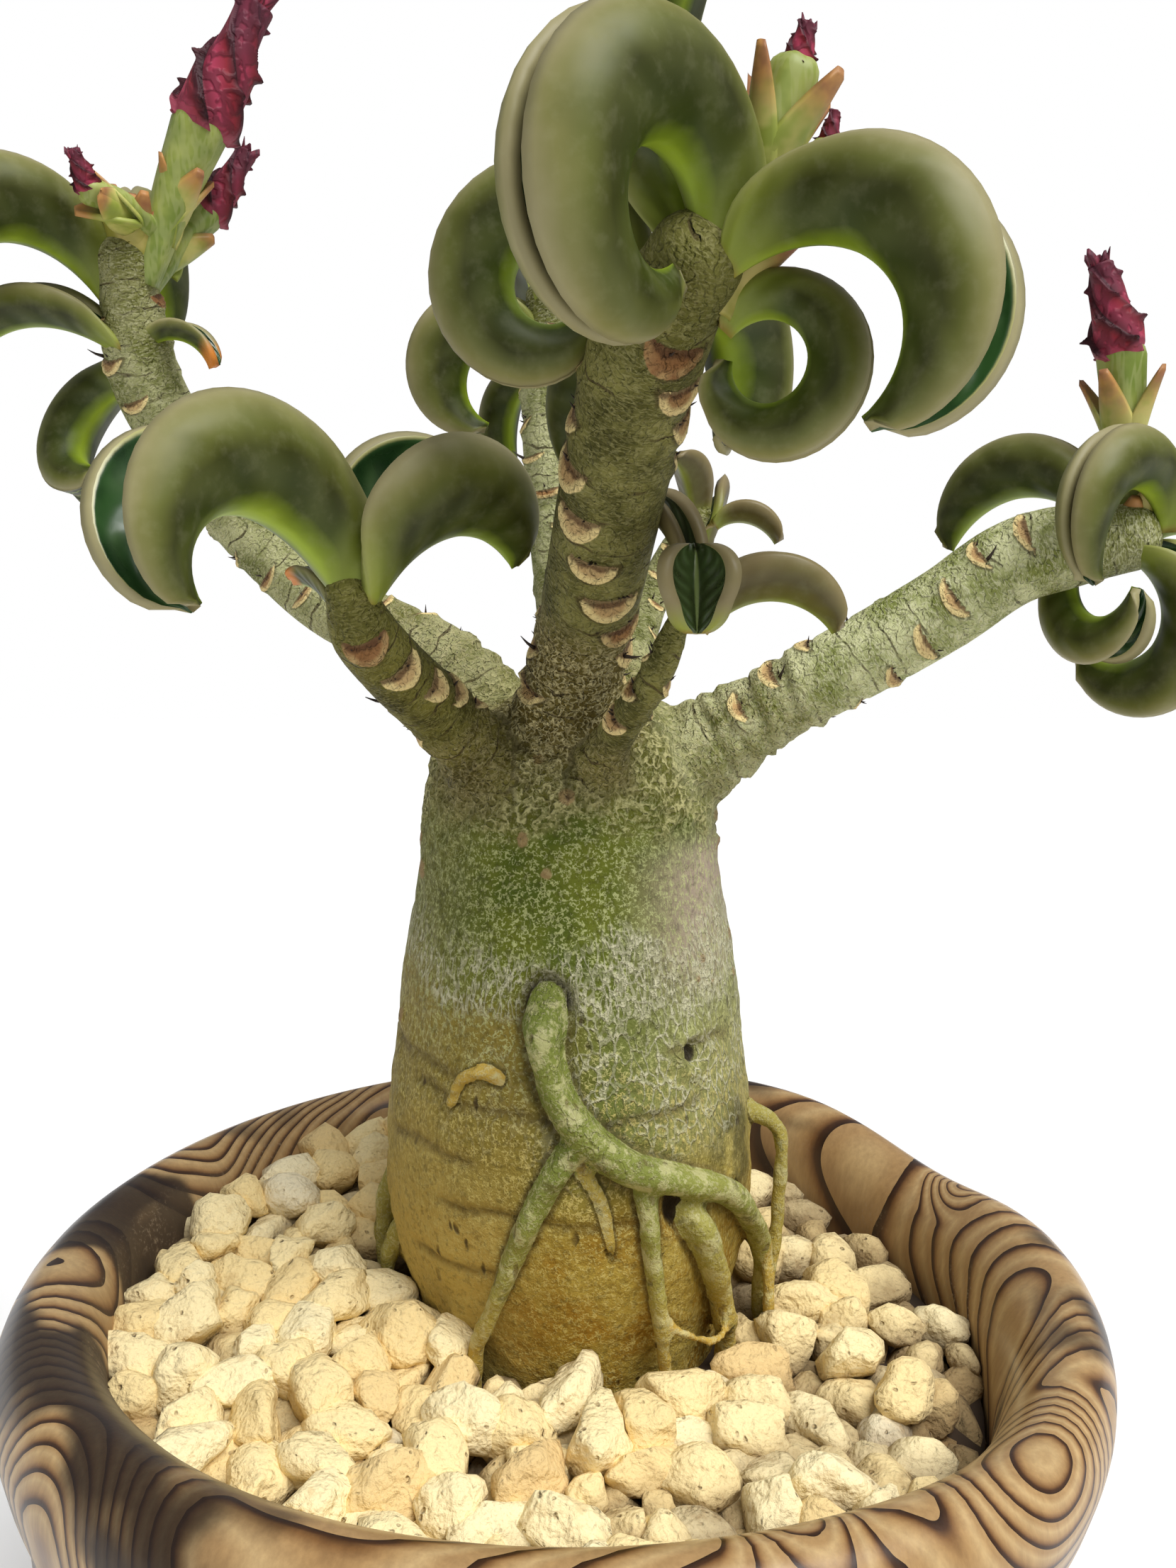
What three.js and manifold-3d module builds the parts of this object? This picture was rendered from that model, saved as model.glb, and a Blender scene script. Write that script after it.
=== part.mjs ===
// A potted desert rose: a swollen stem with aerial roots, seven short branches, thick leaves
// that curl back on themselves and dark red buds, standing in pale gravel in a turned wood pot.
// Millimetres, +Z up. The origin is the middle of the pot's flat base, and the front faces -Y.

import * as THREE from 'three';
import { mergeGeometries, mergeVertices } from 'three/addons/utils/BufferGeometryUtils.js';
import Module from 'manifold-3d';

const wasm = await Module();
wasm.setup();

// Driving dimensions
const GAP = 0.3; // clearance where one piece rests in or on another
const POT = { height: 99.5, radius: 79, base: 58, floor: 9, wall: 14, sides: 36 };
const DRAIN = { radius: 4.5, ring: 24, count: 3 };
const GRAVEL = { level: 84, inside: 20, outside: 62, pitch: 11.4, stone: 5.1, heap: 8 };
const STEM = { x: 3, y: 15, sides: 20 };
const BLADE = { thickness: 1.9, rib: 0.7, stalk: 1.5, tightest: 1.8, hollow: 0.65 };

// Small maths
const radians = THREE.MathUtils.degToRad;
const mix = THREE.MathUtils.lerp;
const ramp = (low, high, value) => THREE.MathUtils.smoothstep(value, low, high);
const vector = ([x, y, z]) => new THREE.Vector3(x, y, z);

// The same pseudo-random draws each time the model is built
function seeded(seed) {
  let state = seed;
  return () => {
    state = (state * 16807) % 2147483647;
    return state / 2147483647;
  };
}

// A closed geometry as a solid that can be joined and cut
function solid(geometry) {
  const bare = geometry.clone();
  bare.deleteAttribute('normal');
  bare.deleteAttribute('uv');
  const merged = mergeVertices(bare, 1e-4);
  const corners = [];
  for (let i = 0; i < merged.index.count; i += 3) {
    const [a, b, c] = [0, 1, 2].map((k) => merged.index.getX(i + k));
    if (a !== b && b !== c && c !== a) corners.push(a, b, c);
  }
  return new wasm.Manifold(new wasm.Mesh({
    numProp: 3,
    vertProperties: new Float32Array(merged.attributes.position.array),
    triVerts: new Uint32Array(corners),
  }));
}

// A solid as a geometry with flat faces
function faceted(body) {
  const mesh = body.getMesh();
  const geometry = new THREE.BufferGeometry();
  const points = new THREE.BufferAttribute(new Float32Array(mesh.vertProperties), mesh.numProp);
  geometry.setAttribute('position', points);
  geometry.setIndex(new THREE.BufferAttribute(new Uint32Array(mesh.triVerts), 1));
  const loose = geometry.toNonIndexed();
  loose.computeVertexNormals();
  return loose;
}

function join(bodies) {
  return bodies.reduce((whole, body) => whole.add(body));
}

// The largest of the pieces that a cut leaves
function largest(body) {
  return body.decompose().reduce((best, piece) => (piece.volume() > best.volume() ? piece : best));
}

// Moves every vertex of a geometry by a rule
function reshape(geometry, rule) {
  const place = geometry.attributes.position;
  const point = new THREE.Vector3();
  for (let i = 0; i < place.count; i += 1) {
    point.fromBufferAttribute(place, i);
    rule(point, i);
    place.setXYZ(i, point.x, point.y, point.z);
  }
  return geometry;
}

// A shape turned about the upright axis from [radius, height] points, closed on the axis
function turned(profile, sides) {
  const points = profile.map(([radius, height]) => new THREE.Vector2(radius, height));
  return new THREE.LatheGeometry(points, sides).rotateX(Math.PI / 2);
}

// A turned rod bent along a smooth curve. Its radius may change along it and round it, and its
// end stands out by a share of its radius.
function bentRod(points, radiusAt, sides, steps, tip = 0.5) {
  const curve = new THREE.CatmullRomCurve3(points.map(vector), false, 'centripetal');
  const frames = curve.computeFrenetFrames(steps);
  const profile = [new THREE.Vector2(0, 0)];
  for (let i = 0; i <= steps; i += 1) profile.push(new THREE.Vector2(1, i));
  profile.push(new THREE.Vector2(0, steps + 1));
  const rod = new THREE.LatheGeometry(profile, sides);
  return reshape(rod, (point) => {
    const step = Math.min(Math.round(point.y), steps);
    const radius = radiusAt(step / steps, Math.atan2(point.x, point.z));
    const beyond = Math.round(point.y) > steps ? tip * radius : 0;
    const [across, up] = [point.x * radius, point.z * radius];
    point.copy(curve.getPointAt(step / steps));
    point.addScaledVector(frames.binormals[step], across);
    point.addScaledVector(frames.normals[step], up);
    point.addScaledVector(frames.tangents[step], beyond);
  });
}

// Closes two matching faces of a sheet, the front and the back, into one thin solid
function thickened(front, back) {
  const index = Array.from(front.index.array);
  const count = front.attributes.position.count;
  const edges = new Map();
  for (let i = 0; i < index.length; i += 3) {
    for (let k = 0; k < 3; k += 1) {
      const [a, b] = [index[i + k], index[i + ((k + 1) % 3)]];
      if (!edges.delete(`${b} ${a}`)) edges.set(`${a} ${b}`, [a, b]);
    }
  }
  const faces = [...index];
  for (let i = 0; i < index.length; i += 3) {
    faces.push(index[i] + count, index[i + 2] + count, index[i + 1] + count);
  }
  for (const [a, b] of edges.values()) {
    faces.push(b, a, a + count, b, a + count, b + count);
  }
  const closed = mergeGeometries([front, back]);
  closed.setIndex(faces);
  return closed;
}

// Pot: a turned bowl with a thick rolled lip that stands higher at the front, dips at the right
// of the back, has a corner at the right of the front, and opens out flat at the right
const lipWave = (angle) => 0.6 * Math.sin(2 * angle - 0.8) - 1.7 * Math.sin(angle);
const lipDip = (angle) => Math.exp(-(((angle - radians(28)) / 0.26) ** 2));
const lipCorner = (angle) => Math.exp(-(((angle + radians(42)) / 0.28) ** 2));
const openSide = (angle) => Math.exp(-(((angle + radians(12)) / 0.75) ** 2));

function waved(point) {
  const angle = Math.atan2(point.y, point.x);
  const radius = Math.hypot(point.x, point.y);
  const nearLip = ramp(POT.height * 0.55, POT.height, point.z);
  const inward = POT.radius - POT.wall;
  const across = THREE.MathUtils.clamp((radius - inward) / POT.wall, 0, 1);
  const slope = openSide(angle) * nearLip * 7 * (across - 1) * ramp(inward - 2, inward, radius);
  const lift = nearLip * (lipWave(angle) - 4.5 * lipDip(angle)) + slope;
  const swell = 1 + (0.014 * Math.cos(angle + radians(22)) + 0.02 * lipCorner(angle)) * nearLip;
  point.set(point.x * swell, point.y * swell, point.z + lift);
}

function potInside(clearance, top) {
  const { radius, wall, floor, height } = POT;
  return [
    [0, floor + clearance], [49 - clearance, floor + clearance], [59 - clearance, 34],
    [63.5 - clearance, 69], [radius - wall - clearance, height - 7],
    ...top,
  ];
}

function pot() {
  const { radius, base, height, wall } = POT;
  const outside = [
    [0, 0], [base - 3, 0], [base, 3], [68, 29], [74, 58], [75.5, 75],
    [radius - 1, height - 16], [radius, height - 8], [radius - 3, height - 2],
  ];
  const lip = [[radius - 7, height], [radius - wall + 2, height - 2.5]];
  const inside = potInside(0, []).reverse();
  const bowl = solid(reshape(turned([...outside, ...lip, ...inside], POT.sides), waved));
  const drill = new THREE.CylinderGeometry(DRAIN.radius, DRAIN.radius, 4 * POT.floor, 12);
  drill.rotateX(Math.PI / 2);
  const holes = [];
  for (let i = 0; i < DRAIN.count; i += 1) {
    const angle = (i / DRAIN.count) * 2 * Math.PI + radians(90);
    const place = [DRAIN.ring * Math.cos(angle), DRAIN.ring * Math.sin(angle), 0];
    holes.push(solid(drill.clone().translate(...place)));
  }
  return bowl.subtract(join(holes));
}

// Gravel: one bed of soil with rough stones standing out of it, cut to the pot's inside
const HEAP_SIDE = radians(125); // the gravel stands higher at the back left

function stone(random) {
  const rock = new THREE.IcosahedronGeometry(GRAVEL.stone, 0);
  const rough = mergeVertices(rock.deleteAttribute('normal').deleteAttribute('uv'));
  reshape(rough, (point) => point.multiplyScalar(mix(0.82, 1.12, random())));
  const long = mix(0.95, 1.3, random());
  rough.scale(long, 1 / Math.sqrt(long), 1);
  rough.rotateX(mix(-0.7, 0.7, random())).rotateY(mix(-0.7, 0.7, random()));
  return rough.rotateZ(random() * Math.PI);
}

function gravelBed() {
  const { level, inside, outside, pitch, heap } = GRAVEL;
  const random = seeded(41);
  const stones = [];
  for (let ring = inside; ring <= outside; ring += pitch) {
    const count = Math.floor((2 * Math.PI * ring) / pitch);
    for (let i = 0; i < count; i += 1) {
      const angle = ((i + random() * 0.2 + (ring % 2) / 2) / count) * 2 * Math.PI;
      const radius = ring + mix(-0.7, 0.7, random());
      const [x, y] = [radius * Math.cos(angle), radius * Math.sin(angle)];
      const heaped = heap * ramp(-20, 60, radius * Math.cos(angle - HEAP_SIDE)) + mix(-1.2, 0.6, random());
      const rock = stone(random).translate(x, y, level + heaped);
      if (Math.hypot(x - STEM.x, y - STEM.y) > stemRadius(level)) stones.push(solid(rock));
    }
  }
  const top = [[POT.radius - POT.wall - GAP, POT.height + 25], [0, POT.height + 25]];
  const room = solid(reshape(turned(potInside(GAP, top), POT.sides), waved));
  const soil = solid(turned([[0, 0], [POT.radius, 0], [POT.radius, level], [0, level]], 8));
  return join([soil, ...stones]).intersect(room);
}

// Stem: the swollen stem, from its buried tip to the rounded shoulder that the branches leave
const STEM_PROFILE = [
  [45, 8], [50, 15], [60, 20], [72, 23.5], [84, 26.2], [95, 28.4], [108, 29.4], [118, 29.2],
  [128, 27.4], [140, 25.4], [152, 22.9], [162, 21.9], [170, 20.3], [176, 16], [179, 8],
];

function stemRadius(height) {
  const after = STEM_PROFILE.findIndex(([level]) => level >= height);
  const [low, high] = [STEM_PROFILE[Math.max(after - 1, 0)], STEM_PROFILE[after]];
  return mix(low[1], high[1], (height - low[0]) / (high[0] - low[0] || 1));
}

function swollenStem(clearance) {
  const first = STEM_PROFILE[0];
  const last = STEM_PROFILE[STEM_PROFILE.length - 1];
  const wall = STEM_PROFILE.map(([height, radius]) => [radius + clearance, height]);
  const profile = [[0, first[0] - clearance - 1], ...wall, [0, last[0] + 1]];
  const stem = turned(profile, STEM.sides);
  reshape(stem, (point) => {
    const angle = Math.atan2(point.y, point.x);
    const bulge = 0.022 * Math.sin(2 * angle + point.z / 22) + 0.014 * Math.sin(3 * angle - 1);
    const dent = 0.018 * Math.sin(point.z / 7 + Math.sin(angle)) * (1 - ramp(110, 150, point.z));
    point.multiply(new THREE.Vector3(1 + bulge + dent, 1 + bulge + dent, 1));
  });
  return solid(stem.translate(STEM.x, STEM.y, 0));
}

// Branches: points along the middle of each, and its radius at the foot and at the tip
const BRANCHES = {
  centre: {
    path: [[0, 8, 165], [4, 0, 184], [7.2, -14, 200], [9.8, -26, 213], [12.6, -36, 223], [17, -44, 230]],
    foot: 6.5, tip: 6.8,
  },
  right: {
    path: [[16, 14, 166], [35, 8, 179], [45, 5, 185], [56, 2, 192], [66, 0, 199], [80, -4, 202]],
    foot: 5.8, tip: 6,
  },
  left: {
    path: [[-4, 20, 168], [-18, 26, 183], [-37, 29, 193], [-54, 30, 211], [-63, 27, 226], [-64, 22, 244]],
    foot: 5.6, tip: 5.4,
  },
  front: {
    path: [[-6, 6, 166], [-15, -4, 178], [-20, -14, 185], [-23, -19, 190], [-24, -22, 195]],
    foot: 5.3, tip: 4.2,
  },
  back: {
    path: [[5, 26, 168], [2, 38, 194], [0, 42, 214], [-1, 46, 243]],
    foot: 5.6, tip: 5,
  },
  shoot: {
    path: [[6, 0, 168], [10, -12, 177], [14, -20, 184], [17, -24, 192]],
    foot: 3.2, tip: 1.9,
  },
  rear: {
    path: [[10, 28, 168], [14, 46, 184], [19, 55, 197], [26, 58, 208]],
    foot: 3.6, tip: 2.8,
  },
};
const FLARE = 0.45; // how much a branch widens at its foot
const SCAR_SPACING = 9; // along a branch
const SCAR_TURN = radians(137.5); // around it, from one leaf scar to the next

function branch({ path, foot, tip }, clearance) {
  const shape = (share) => (1 + FLARE * (1 - ramp(0, 0.3, share))) * (1 - 0.22 * ramp(0.85, 1, share));
  const radiusAt = (share) => mix(foot, tip, share) * shape(share) + clearance;
  const length = new THREE.CatmullRomCurve3(path.map(vector)).getLength();
  return solid(bentRod(path, radiusAt, 8, Math.round(length / 10)));
}

// Leaf scars: small raised pads that wind up each branch
function leafScars({ path, foot, tip }) {
  const curve = new THREE.CatmullRomCurve3(path.map(vector), false, 'centripetal');
  const length = curve.getLength();
  const scars = [];
  for (let i = 2; i * SCAR_SPACING < length - 4; i += 1) {
    const share = (i * SCAR_SPACING) / length;
    const radius = mix(foot, tip, share);
    const along = curve.getTangentAt(share);
    const side = new THREE.Vector3(1, 0.3, 0.2).cross(along).normalize();
    side.applyAxisAngle(along, i * SCAR_TURN);
    const pad = new THREE.OctahedronGeometry(radius * 0.66, 0);
    pad.scale(1, 0.42, 0.4);
    pad.applyMatrix4(new THREE.Matrix4().makeBasis(side.clone().cross(along).negate(), along, side));
    pad.translate(...curve.getPointAt(share).addScaledVector(side, radius * 0.92));
    scars.push(solid(pad));
  }
  return scars;
}

// Roots: angle around the stem, height, and how far the middle stands off the stem's surface
const ROOTS = [
  { radius: 2.9, tip: 1.6, sides: 7, steps: 12, route: [
    [263, 139, -3], [263, 134, 1.8], [266, 127, 2], [272, 122, 2], [285, 116, 2], [300, 112.5, 2],
    [318, 108, 2], [335, 99, 2.5], [345, 90, 3.5], [350, 80, 5],
  ] },
  { radius: 1.9, tip: 1.3, sides: 6, steps: 8, route: [
    [274, 121, 1.4], [266, 115, 1.8], [257, 105, 2], [250, 95, 2.4], [242, 85, 3], [240, 78, 3],
  ] },
  { radius: 1.1, tip: 0.7, sides: 5, steps: 4, route: [
    [272, 117, 0.8], [278, 111, 1], [281, 104, 0.8], [282, 98, -0.5],
  ] },
  { radius: 1.6, tip: 1.2, sides: 6, steps: 7, route: [
    [290, 114, 1.4], [291, 107, 2.2], [293, 98, 2.8], [296, 88, 3.5], [299, 78, 4],
  ] },
  { radius: 2.5, tip: 1.7, sides: 6, steps: 6, route: [
    [302, 109, -2], [307, 104, 2.2], [314, 96, 2.6], [321, 87, 3], [326, 78, 3],
  ] },
  { radius: 1.3, tip: 0.9, sides: 5, steps: 5, route: [
    [340, 98, 2.4], [341, 92, 4.5], [339, 86, 6.2], [340, 78, 7.5],
  ] },
  { radius: 1.5, tip: 1.2, sides: 5, steps: 6, route: [
    [352, 114, -1], [354, 110, 3.6], [353, 102, 4.4], [353, 94, 4.6], [352, 84, 5.5], [352, 78, 6],
  ] },
  { radius: 1.9, tip: 1.5, sides: 5, steps: 5, route: [
    [172, 101, 0], [174, 95, 2.6], [176, 87, 4.2], [178, 78, 6],
  ] },
  { radius: 1.6, tip: 1.2, sides: 5, steps: 4, route: [
    [192, 95, 0], [190, 90, 2.2], [189, 84, 3.6], [188, 78, 4.4],
  ] },
  { radius: 0.9, tip: 0.7, sides: 5, steps: 5, route: [
    [296, 92, 3.4], [302, 89, 4.4], [312, 86.5, 5.2], [324, 87, 3.4],
  ] },
  { radius: 1.2, tip: 0.8, sides: 5, steps: 4, route: [
    [249, 127, -0.8], [244, 128, 0.9], [238, 126.5, 1.4], [234, 122.5, 0.9],
  ] },
  { radius: 2.1, tip: 1.4, sides: 6, steps: 7, route: [
    [88, 122, -1.5], [90, 116, 1.6], [96, 106, 1.8], [100, 96, 2], [97, 87, 2.8], [96, 78, 3.5],
  ] },
  { radius: 1.5, tip: 1.1, sides: 5, steps: 5, route: [
    [62, 104, -1], [60, 98, 1.8], [55, 90, 2.6], [52, 84, 3.4], [50, 78, 4],
  ] },
];

function rootPath(route) {
  return route.map(([degrees, height, off]) => {
    const reach = stemRadius(height) + off;
    const angle = radians(degrees);
    return [STEM.x + reach * Math.cos(angle), STEM.y + reach * Math.sin(angle), height];
  });
}

function root({ radius, tip, sides, steps, route }) {
  return solid(bentRod(rootPath(route), (share) => mix(radius, tip, share), sides, steps));
}

// The plain hole in the gravel round the lower end of a root
function rootHole({ radius, tip, route }) {
  const sides = 5;
  const width = (mix(radius, tip, 0.3) + 1.5 * GAP) / Math.cos(Math.PI / sides);
  return solid(bentRod(rootPath(route).slice(-4), () => width, sides, 3, 0.8));
}

// Leaves. From its point on the branch a leaf sets out at the heading, 0 to the right and 90 to
// the back, rises by an angle, and curls over by another. lean tips the curl sideways, grip moves
// the bending towards the leaf's tip, width is that of the flat leaf, and fold is how far each
// half wraps round the middle.
function leaf(at, heading, rise, curl, lean, grip, length, width, fold = [155, 155]) {
  return { at, heading, rise, curl, lean, grip, length, width, fold };
}

const LEAVES = {
  front: [
    leaf([-24.1, -22.2, 193.2], 209, 59, 188, 23, 1.8, 36, 37, [150, 105]),
    leaf([-21.7, -20.9, 192.6], 27, 62, 120, 14, 1.4, 28, 36, [105, 150]),
    leaf([-26, -17.9, 191.1], 136, 60, 69, -1, 1, 12.4, 7, [100, 100]),
  ],
  centre: [
    leaf([16.8, -46.2, 229.1], 221, 110, 326, 3.4, 1.1, 38.5, 38),
    leaf([20.2, -45.9, 227.8], 335, 33, 178, -8.8, 1.2, 35.5, 30, [105, 150]),
    leaf([20.5, -41, 222.6], 342, 45, 325, -7, 1.1, 29, 18.5),
    leaf([9, -32.3, 226.4], 167, 89, 336, 5.7, 1.3, 33.8, 28),
    leaf([16.4, -41.7, 230.9], 304, 112, 150, 0, 2, 44.4, 18, [80, 80]),
    leaf([18.2, -37.3, 223.3], 68, 42, 205, -4, 1, 21, 24, [150, 120]),
    leaf([12, -32.5, 219.1], 126, 20, 130, -14, 1.1, 24, 22),
  ],
  right: [
    leaf([76.1, -1, 203.2], 132, 53, 121, 5.9, 1, 27.3, 25),
    leaf([83.2, -6.2, 202.5], 213.5, 86, 209, 1, 0.9, 27.5, 24),
    leaf([74.1, -2.2, 199.3], 117, -24.6, 232, 2.3, 0.8, 20.7, 17, [150, 110]),
    leaf([79.1, -3.3, 199.9], 320, -23, 195, 12, 1.1, 28.3, 24, [120, 150]),
    leaf([82.5, -0.5, 200.5], 26, 37, 214, -9.6, 1.2, 32.4, 28),
  ],
  left: [
    leaf([-67.4, 22.3, 237.5], 200, 57.7, 197, 24.1, 1.4, 34.8, 32, [150, 110]),
    leaf([-65, 22, 230], 182, 33, 91, -13, 1.4, 28, 16, [130, 130]),
    leaf([-64, 26, 225.6], 146, -0.5, 199, 24.4, 1.4, 25.6, 22, [150, 110]),
    leaf([-64.7, 25.9, 239.9], 102, 68, 186, -10.8, 1.2, 30.6, 30),
    leaf([-62, 23, 231], 345, 38, 110, 0, 1, 14, 7, [100, 100]),
  ],
  back: [
    leaf([-1, 46, 240], 92, 60, 215, 0, 1.2, 38, 32, [150, 115]),
    leaf([0, 46, 236], 22, 40, 180, 0, 1.1, 30, 26),
    leaf([-2, 45, 235], 168, 35, 190, 0, 1.1, 28, 25, [110, 150]),
    leaf([-2.4, 45, 229.1], 128, 5, 145, 0, 1, 22, 15, [120, 120]),
    leaf([-1.3, 43.1, 240.6], 298, 72, 74, 7, 1, 14, 9, [90, 90]),
  ],
  shoot: [
    leaf([19.8, -23.6, 190], 358, 56, 112, 2.3, 1, 19.5, 15, [125, 125]),
    leaf([18.6, -28.4, 190], 90, 84, 30, 0, 1, 11, 16, [92, 92]),
    leaf([18.5, -20, 192.3], 118, 88, 110, 0, 1, 25, 11, [115, 115]),
  ],
  rear: [
    leaf([28.5, 56.5, 205], 351, 42.4, 102, 0, 0.8, 13, 10, [120, 120]),
    leaf([24.6, 57, 205.5], 244, 80, 65, 0, 1.2, 15, 12, [100, 100]),
    leaf([27, 59.2, 204.9], 76, 53.5, 153, 11.3, 1.2, 22.5, 17, [140, 140]),
  ],
};

function leafFrame({ heading: degrees, rise: slope, lean }) {
  const heading = radians(degrees);
  const rise = radians(slope);
  const level = new THREE.Vector3(Math.cos(heading), Math.sin(heading), 0);
  const up = new THREE.Vector3(0, 0, 1);
  const along = level.clone().multiplyScalar(Math.cos(rise)).addScaledVector(up, Math.sin(rise));
  const out = level.clone().multiplyScalar(-Math.sin(rise)).addScaledVector(up, Math.cos(rise));
  out.applyAxisAngle(along, radians(lean));
  return { along, out, across: along.clone().cross(out) };
}

// The middle line of a leaf, as a point and its turned directions at each of the steps
function leafSpine(each, steps) {
  const { along, out, across } = leafFrame(each);
  const fine = 8;
  const place = vector(each.at);
  const spine = [];
  for (let i = 0; i <= steps * fine; i += 1) {
    const turn = radians(each.curl) * (i / (steps * fine)) ** each.grip;
    const tangent = along.clone().multiplyScalar(Math.cos(turn)).addScaledVector(out, -Math.sin(turn));
    const normal = along.clone().multiplyScalar(Math.sin(turn)).addScaledVector(out, Math.cos(turn));
    if (i % fine === 0) spine.push({ place: place.clone(), tangent, normal, across });
    place.addScaledVector(tangent, each.length / (steps * fine));
  }
  return spine;
}

function halfWidth(width, share) {
  const full = Math.sin(Math.PI * share ** 1.05) ** 0.75;
  return mix(BLADE.stalk, width / 2, full) * mix(1, 0.45, ramp(0.94, 1, share));
}

// Both faces of a leaf: its halves wrap up and round from the rib until their edges nearly meet
function leafBlade(each, rows, columns) {
  const spine = leafSpine(each, rows);
  const face = (depth) => {
    const sheet = new THREE.PlaneGeometry(2, rows, columns, rows);
    return reshape(sheet, (point) => {
      const side = point.x;
      const row = Math.round(point.y + rows / 2);
      const { place, normal, across } = spine[row];
      const half = halfWidth(each.width, row / rows);
      const most = half / BLADE.tightest;
      const wrap = radians(each.fold[side < 0 ? 0 : 1]) * ramp(-0.25, 0.3, row / rows);
      const fold = Math.min(wrap, most);
      const radius = half / fold;
      const angle = fold * side;
      const rib = BLADE.rib * Math.exp(-((side / 0.2) ** 2));
      const reach = radius + rib - Math.min(depth, BLADE.hollow * radius);
      point.copy(place).addScaledVector(normal, radius - reach * Math.cos(angle));
      point.addScaledVector(across, reach * Math.sin(angle));
    });
  };
  return solid(thickened(face(BLADE.thickness), face(0)));
}

function leaves(seat) {
  const shapes = [];
  for (const [cluster, list] of Object.entries(LEAVES)) {
    list.forEach((each, i) => {
      const [rows, columns] = each.width > 28 ? [8, 6] : each.width > 11 ? [7, 4] : [5, 2];
      const blade = leafBlade(each, rows, columns);
      shapes.push([`${cluster}_leaf_${i + 1}`, largest(blade.subtract(seat[cluster]))]);
    });
  }
  return shapes;
}

// Flower buds: a green tube from the base up to the neck, pointed sepals round its foot, and a
// furled crimson head with pleats and a toothed end up to the tip. tube is its radius at the foot
// and the neck, head is the head's radius, and sepals are their count and length.
const bud = (base, neck, tip, tube, head, sepals) => ({ base, neck, tip, tube, head, sepals });
const SEPAL = { width: 2.5, thickness: 0.8, foot: 0.3, spread: 0.34 };
const BUDS = {
  left: [
    bud([-61, 22, 240], [-52, 22, 262], [-43, 22, 279], [1.8, 4.2], 5.2, [4, 11]),
    bud([-61, 24, 240], [-54, 31, 252], [-48, 34, 262], [1.5, 2.6], 3.2, [2, 8]),
    bud([-59, 21, 247.5], [-65.6, 13, 251], [-67, 11, 256], [1.6, 2], 2, [3, 8]),
  ],
  centre: [
    bud([20, -41, 228], [27.2, -39.8, 249], [28.5, -40, 254], [1.8, 2.8], 2, [4, 16]),
    bud([20, -41, 226], [31, -38, 242], [32, -38, 246], [1.4, 1.6], 1.3, [2, 12]),
  ],
  right: [
    bud([80, -1.9, 202], [78, -1, 226], [74.5, -1, 238], [1.7, 3.2], 3.7, [4, 15]),
  ],
};

// A narrow pointed blade standing on a point, widest low down
function sepal(place, direction, length) {
  const blade = turned([[0, 0], [1, 0.38], [0, 1]], 4).scale(SEPAL.width, SEPAL.thickness, length);
  const outward = direction.clone().cross(new THREE.Vector3(0, 0, 1)).normalize();
  const basis = new THREE.Matrix4().makeBasis(outward, direction.clone().cross(outward), direction);
  return solid(blade.applyMatrix4(basis).translate(...place));
}

function sepals({ base, neck, tube, sepals: [count, length] }) {
  const axis = vector(neck).sub(vector(base)).normalize();
  const foot = vector(base).lerp(vector(neck), SEPAL.foot);
  const blades = [];
  for (let i = 0; i < count; i += 1) {
    const side = new THREE.Vector3(1, 0, 0).cross(axis).normalize();
    side.applyAxisAngle(axis, ((i + 0.5) / count) * 2 * Math.PI);
    const direction = axis.clone().addScaledVector(side, SEPAL.spread).normalize();
    blades.push(sepal(foot.clone().addScaledVector(side, tube[0] * 0.5), direction, length));
  }
  return blades;
}

function budTube({ base, neck, tube }) {
  const middle = vector(base).lerp(vector(neck), 0.5).add(new THREE.Vector3(0, 0, 1)).toArray();
  return solid(bentRod([base, middle, neck], (share) => mix(...tube, share), 7, 3));
}

// A bud's head: how deep its pleats and rings are, how narrow its end is, and its toothed tips
const HEAD = { pleats: 5, depth: 0.17, ring: 0.08, shoulder: 0.8, end: 0.42, teeth: 3, tooth: 0.9 };

// The room round a head, where no green part reaches
function headRoom({ neck, tip, head }) {
  const middle = vector(neck).lerp(vector(tip), 0.5).toArray();
  const width = head * (1 + HEAD.depth + HEAD.ring) * 1.04 + GAP;
  return solid(bentRod([neck, middle, tip], () => width, 8, 2));
}

function budHead({ neck, tip, head }) {
  const start = vector(neck).add(vector(tip).sub(vector(neck)).setLength(GAP)).toArray();
  const middle = vector(neck).lerp(vector(tip), 0.5).toArray();
  const { shoulder, end, pleats, depth, ring, teeth, tooth } = HEAD;
  const swell = (share) => mix(shoulder, 1, ramp(0, 0.2, share)) * mix(1, end, ramp(0.15, 1, share));
  const twist = (share, angle) => Math.sin(pleats * angle + 7 * share);
  const folds = (share, angle) => 1 + depth * twist(share, angle) + ring * Math.sin(23 * share);
  const radiusAt = (share, angle) => head * swell(share) * folds(share, angle);
  const [sides, steps] = head > 3 ? [9, 6] : [6, 4];
  const body = solid(bentRod([start, middle, tip], radiusAt, sides, steps, 0.8));
  const spikes = [];
  for (let i = 0; i < teeth; i += 1) {
    const angle = (i / teeth) * 2 * Math.PI + 0.5;
    const spike = new THREE.ConeGeometry(head * 0.2, head * tooth, 3).rotateX(Math.PI / 2);
    const out = new THREE.Vector3(Math.cos(angle), Math.sin(angle), 0.4).multiplyScalar(head * 0.28);
    spikes.push(solid(spike.translate(...out.add(vector(tip)))));
  }
  return join([body, ...spikes]);
}

// Finishes
const finish = (color, roughness) => new THREE.MeshStandardMaterial({ color, roughness, metalness: 0 });
const WOOD = finish(0x9a6b40, 0.35);
const STONE = finish(0xe6d3a3, 0.95);
const BARK = finish(0x8f9a68, 0.85);
const LEAF = finish(0x7d8f5c, 0.55);
const CALYX = finish(0xb3b56a, 0.6);
const CRIMSON = finish(0x7d1a35, 0.5);

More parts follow.
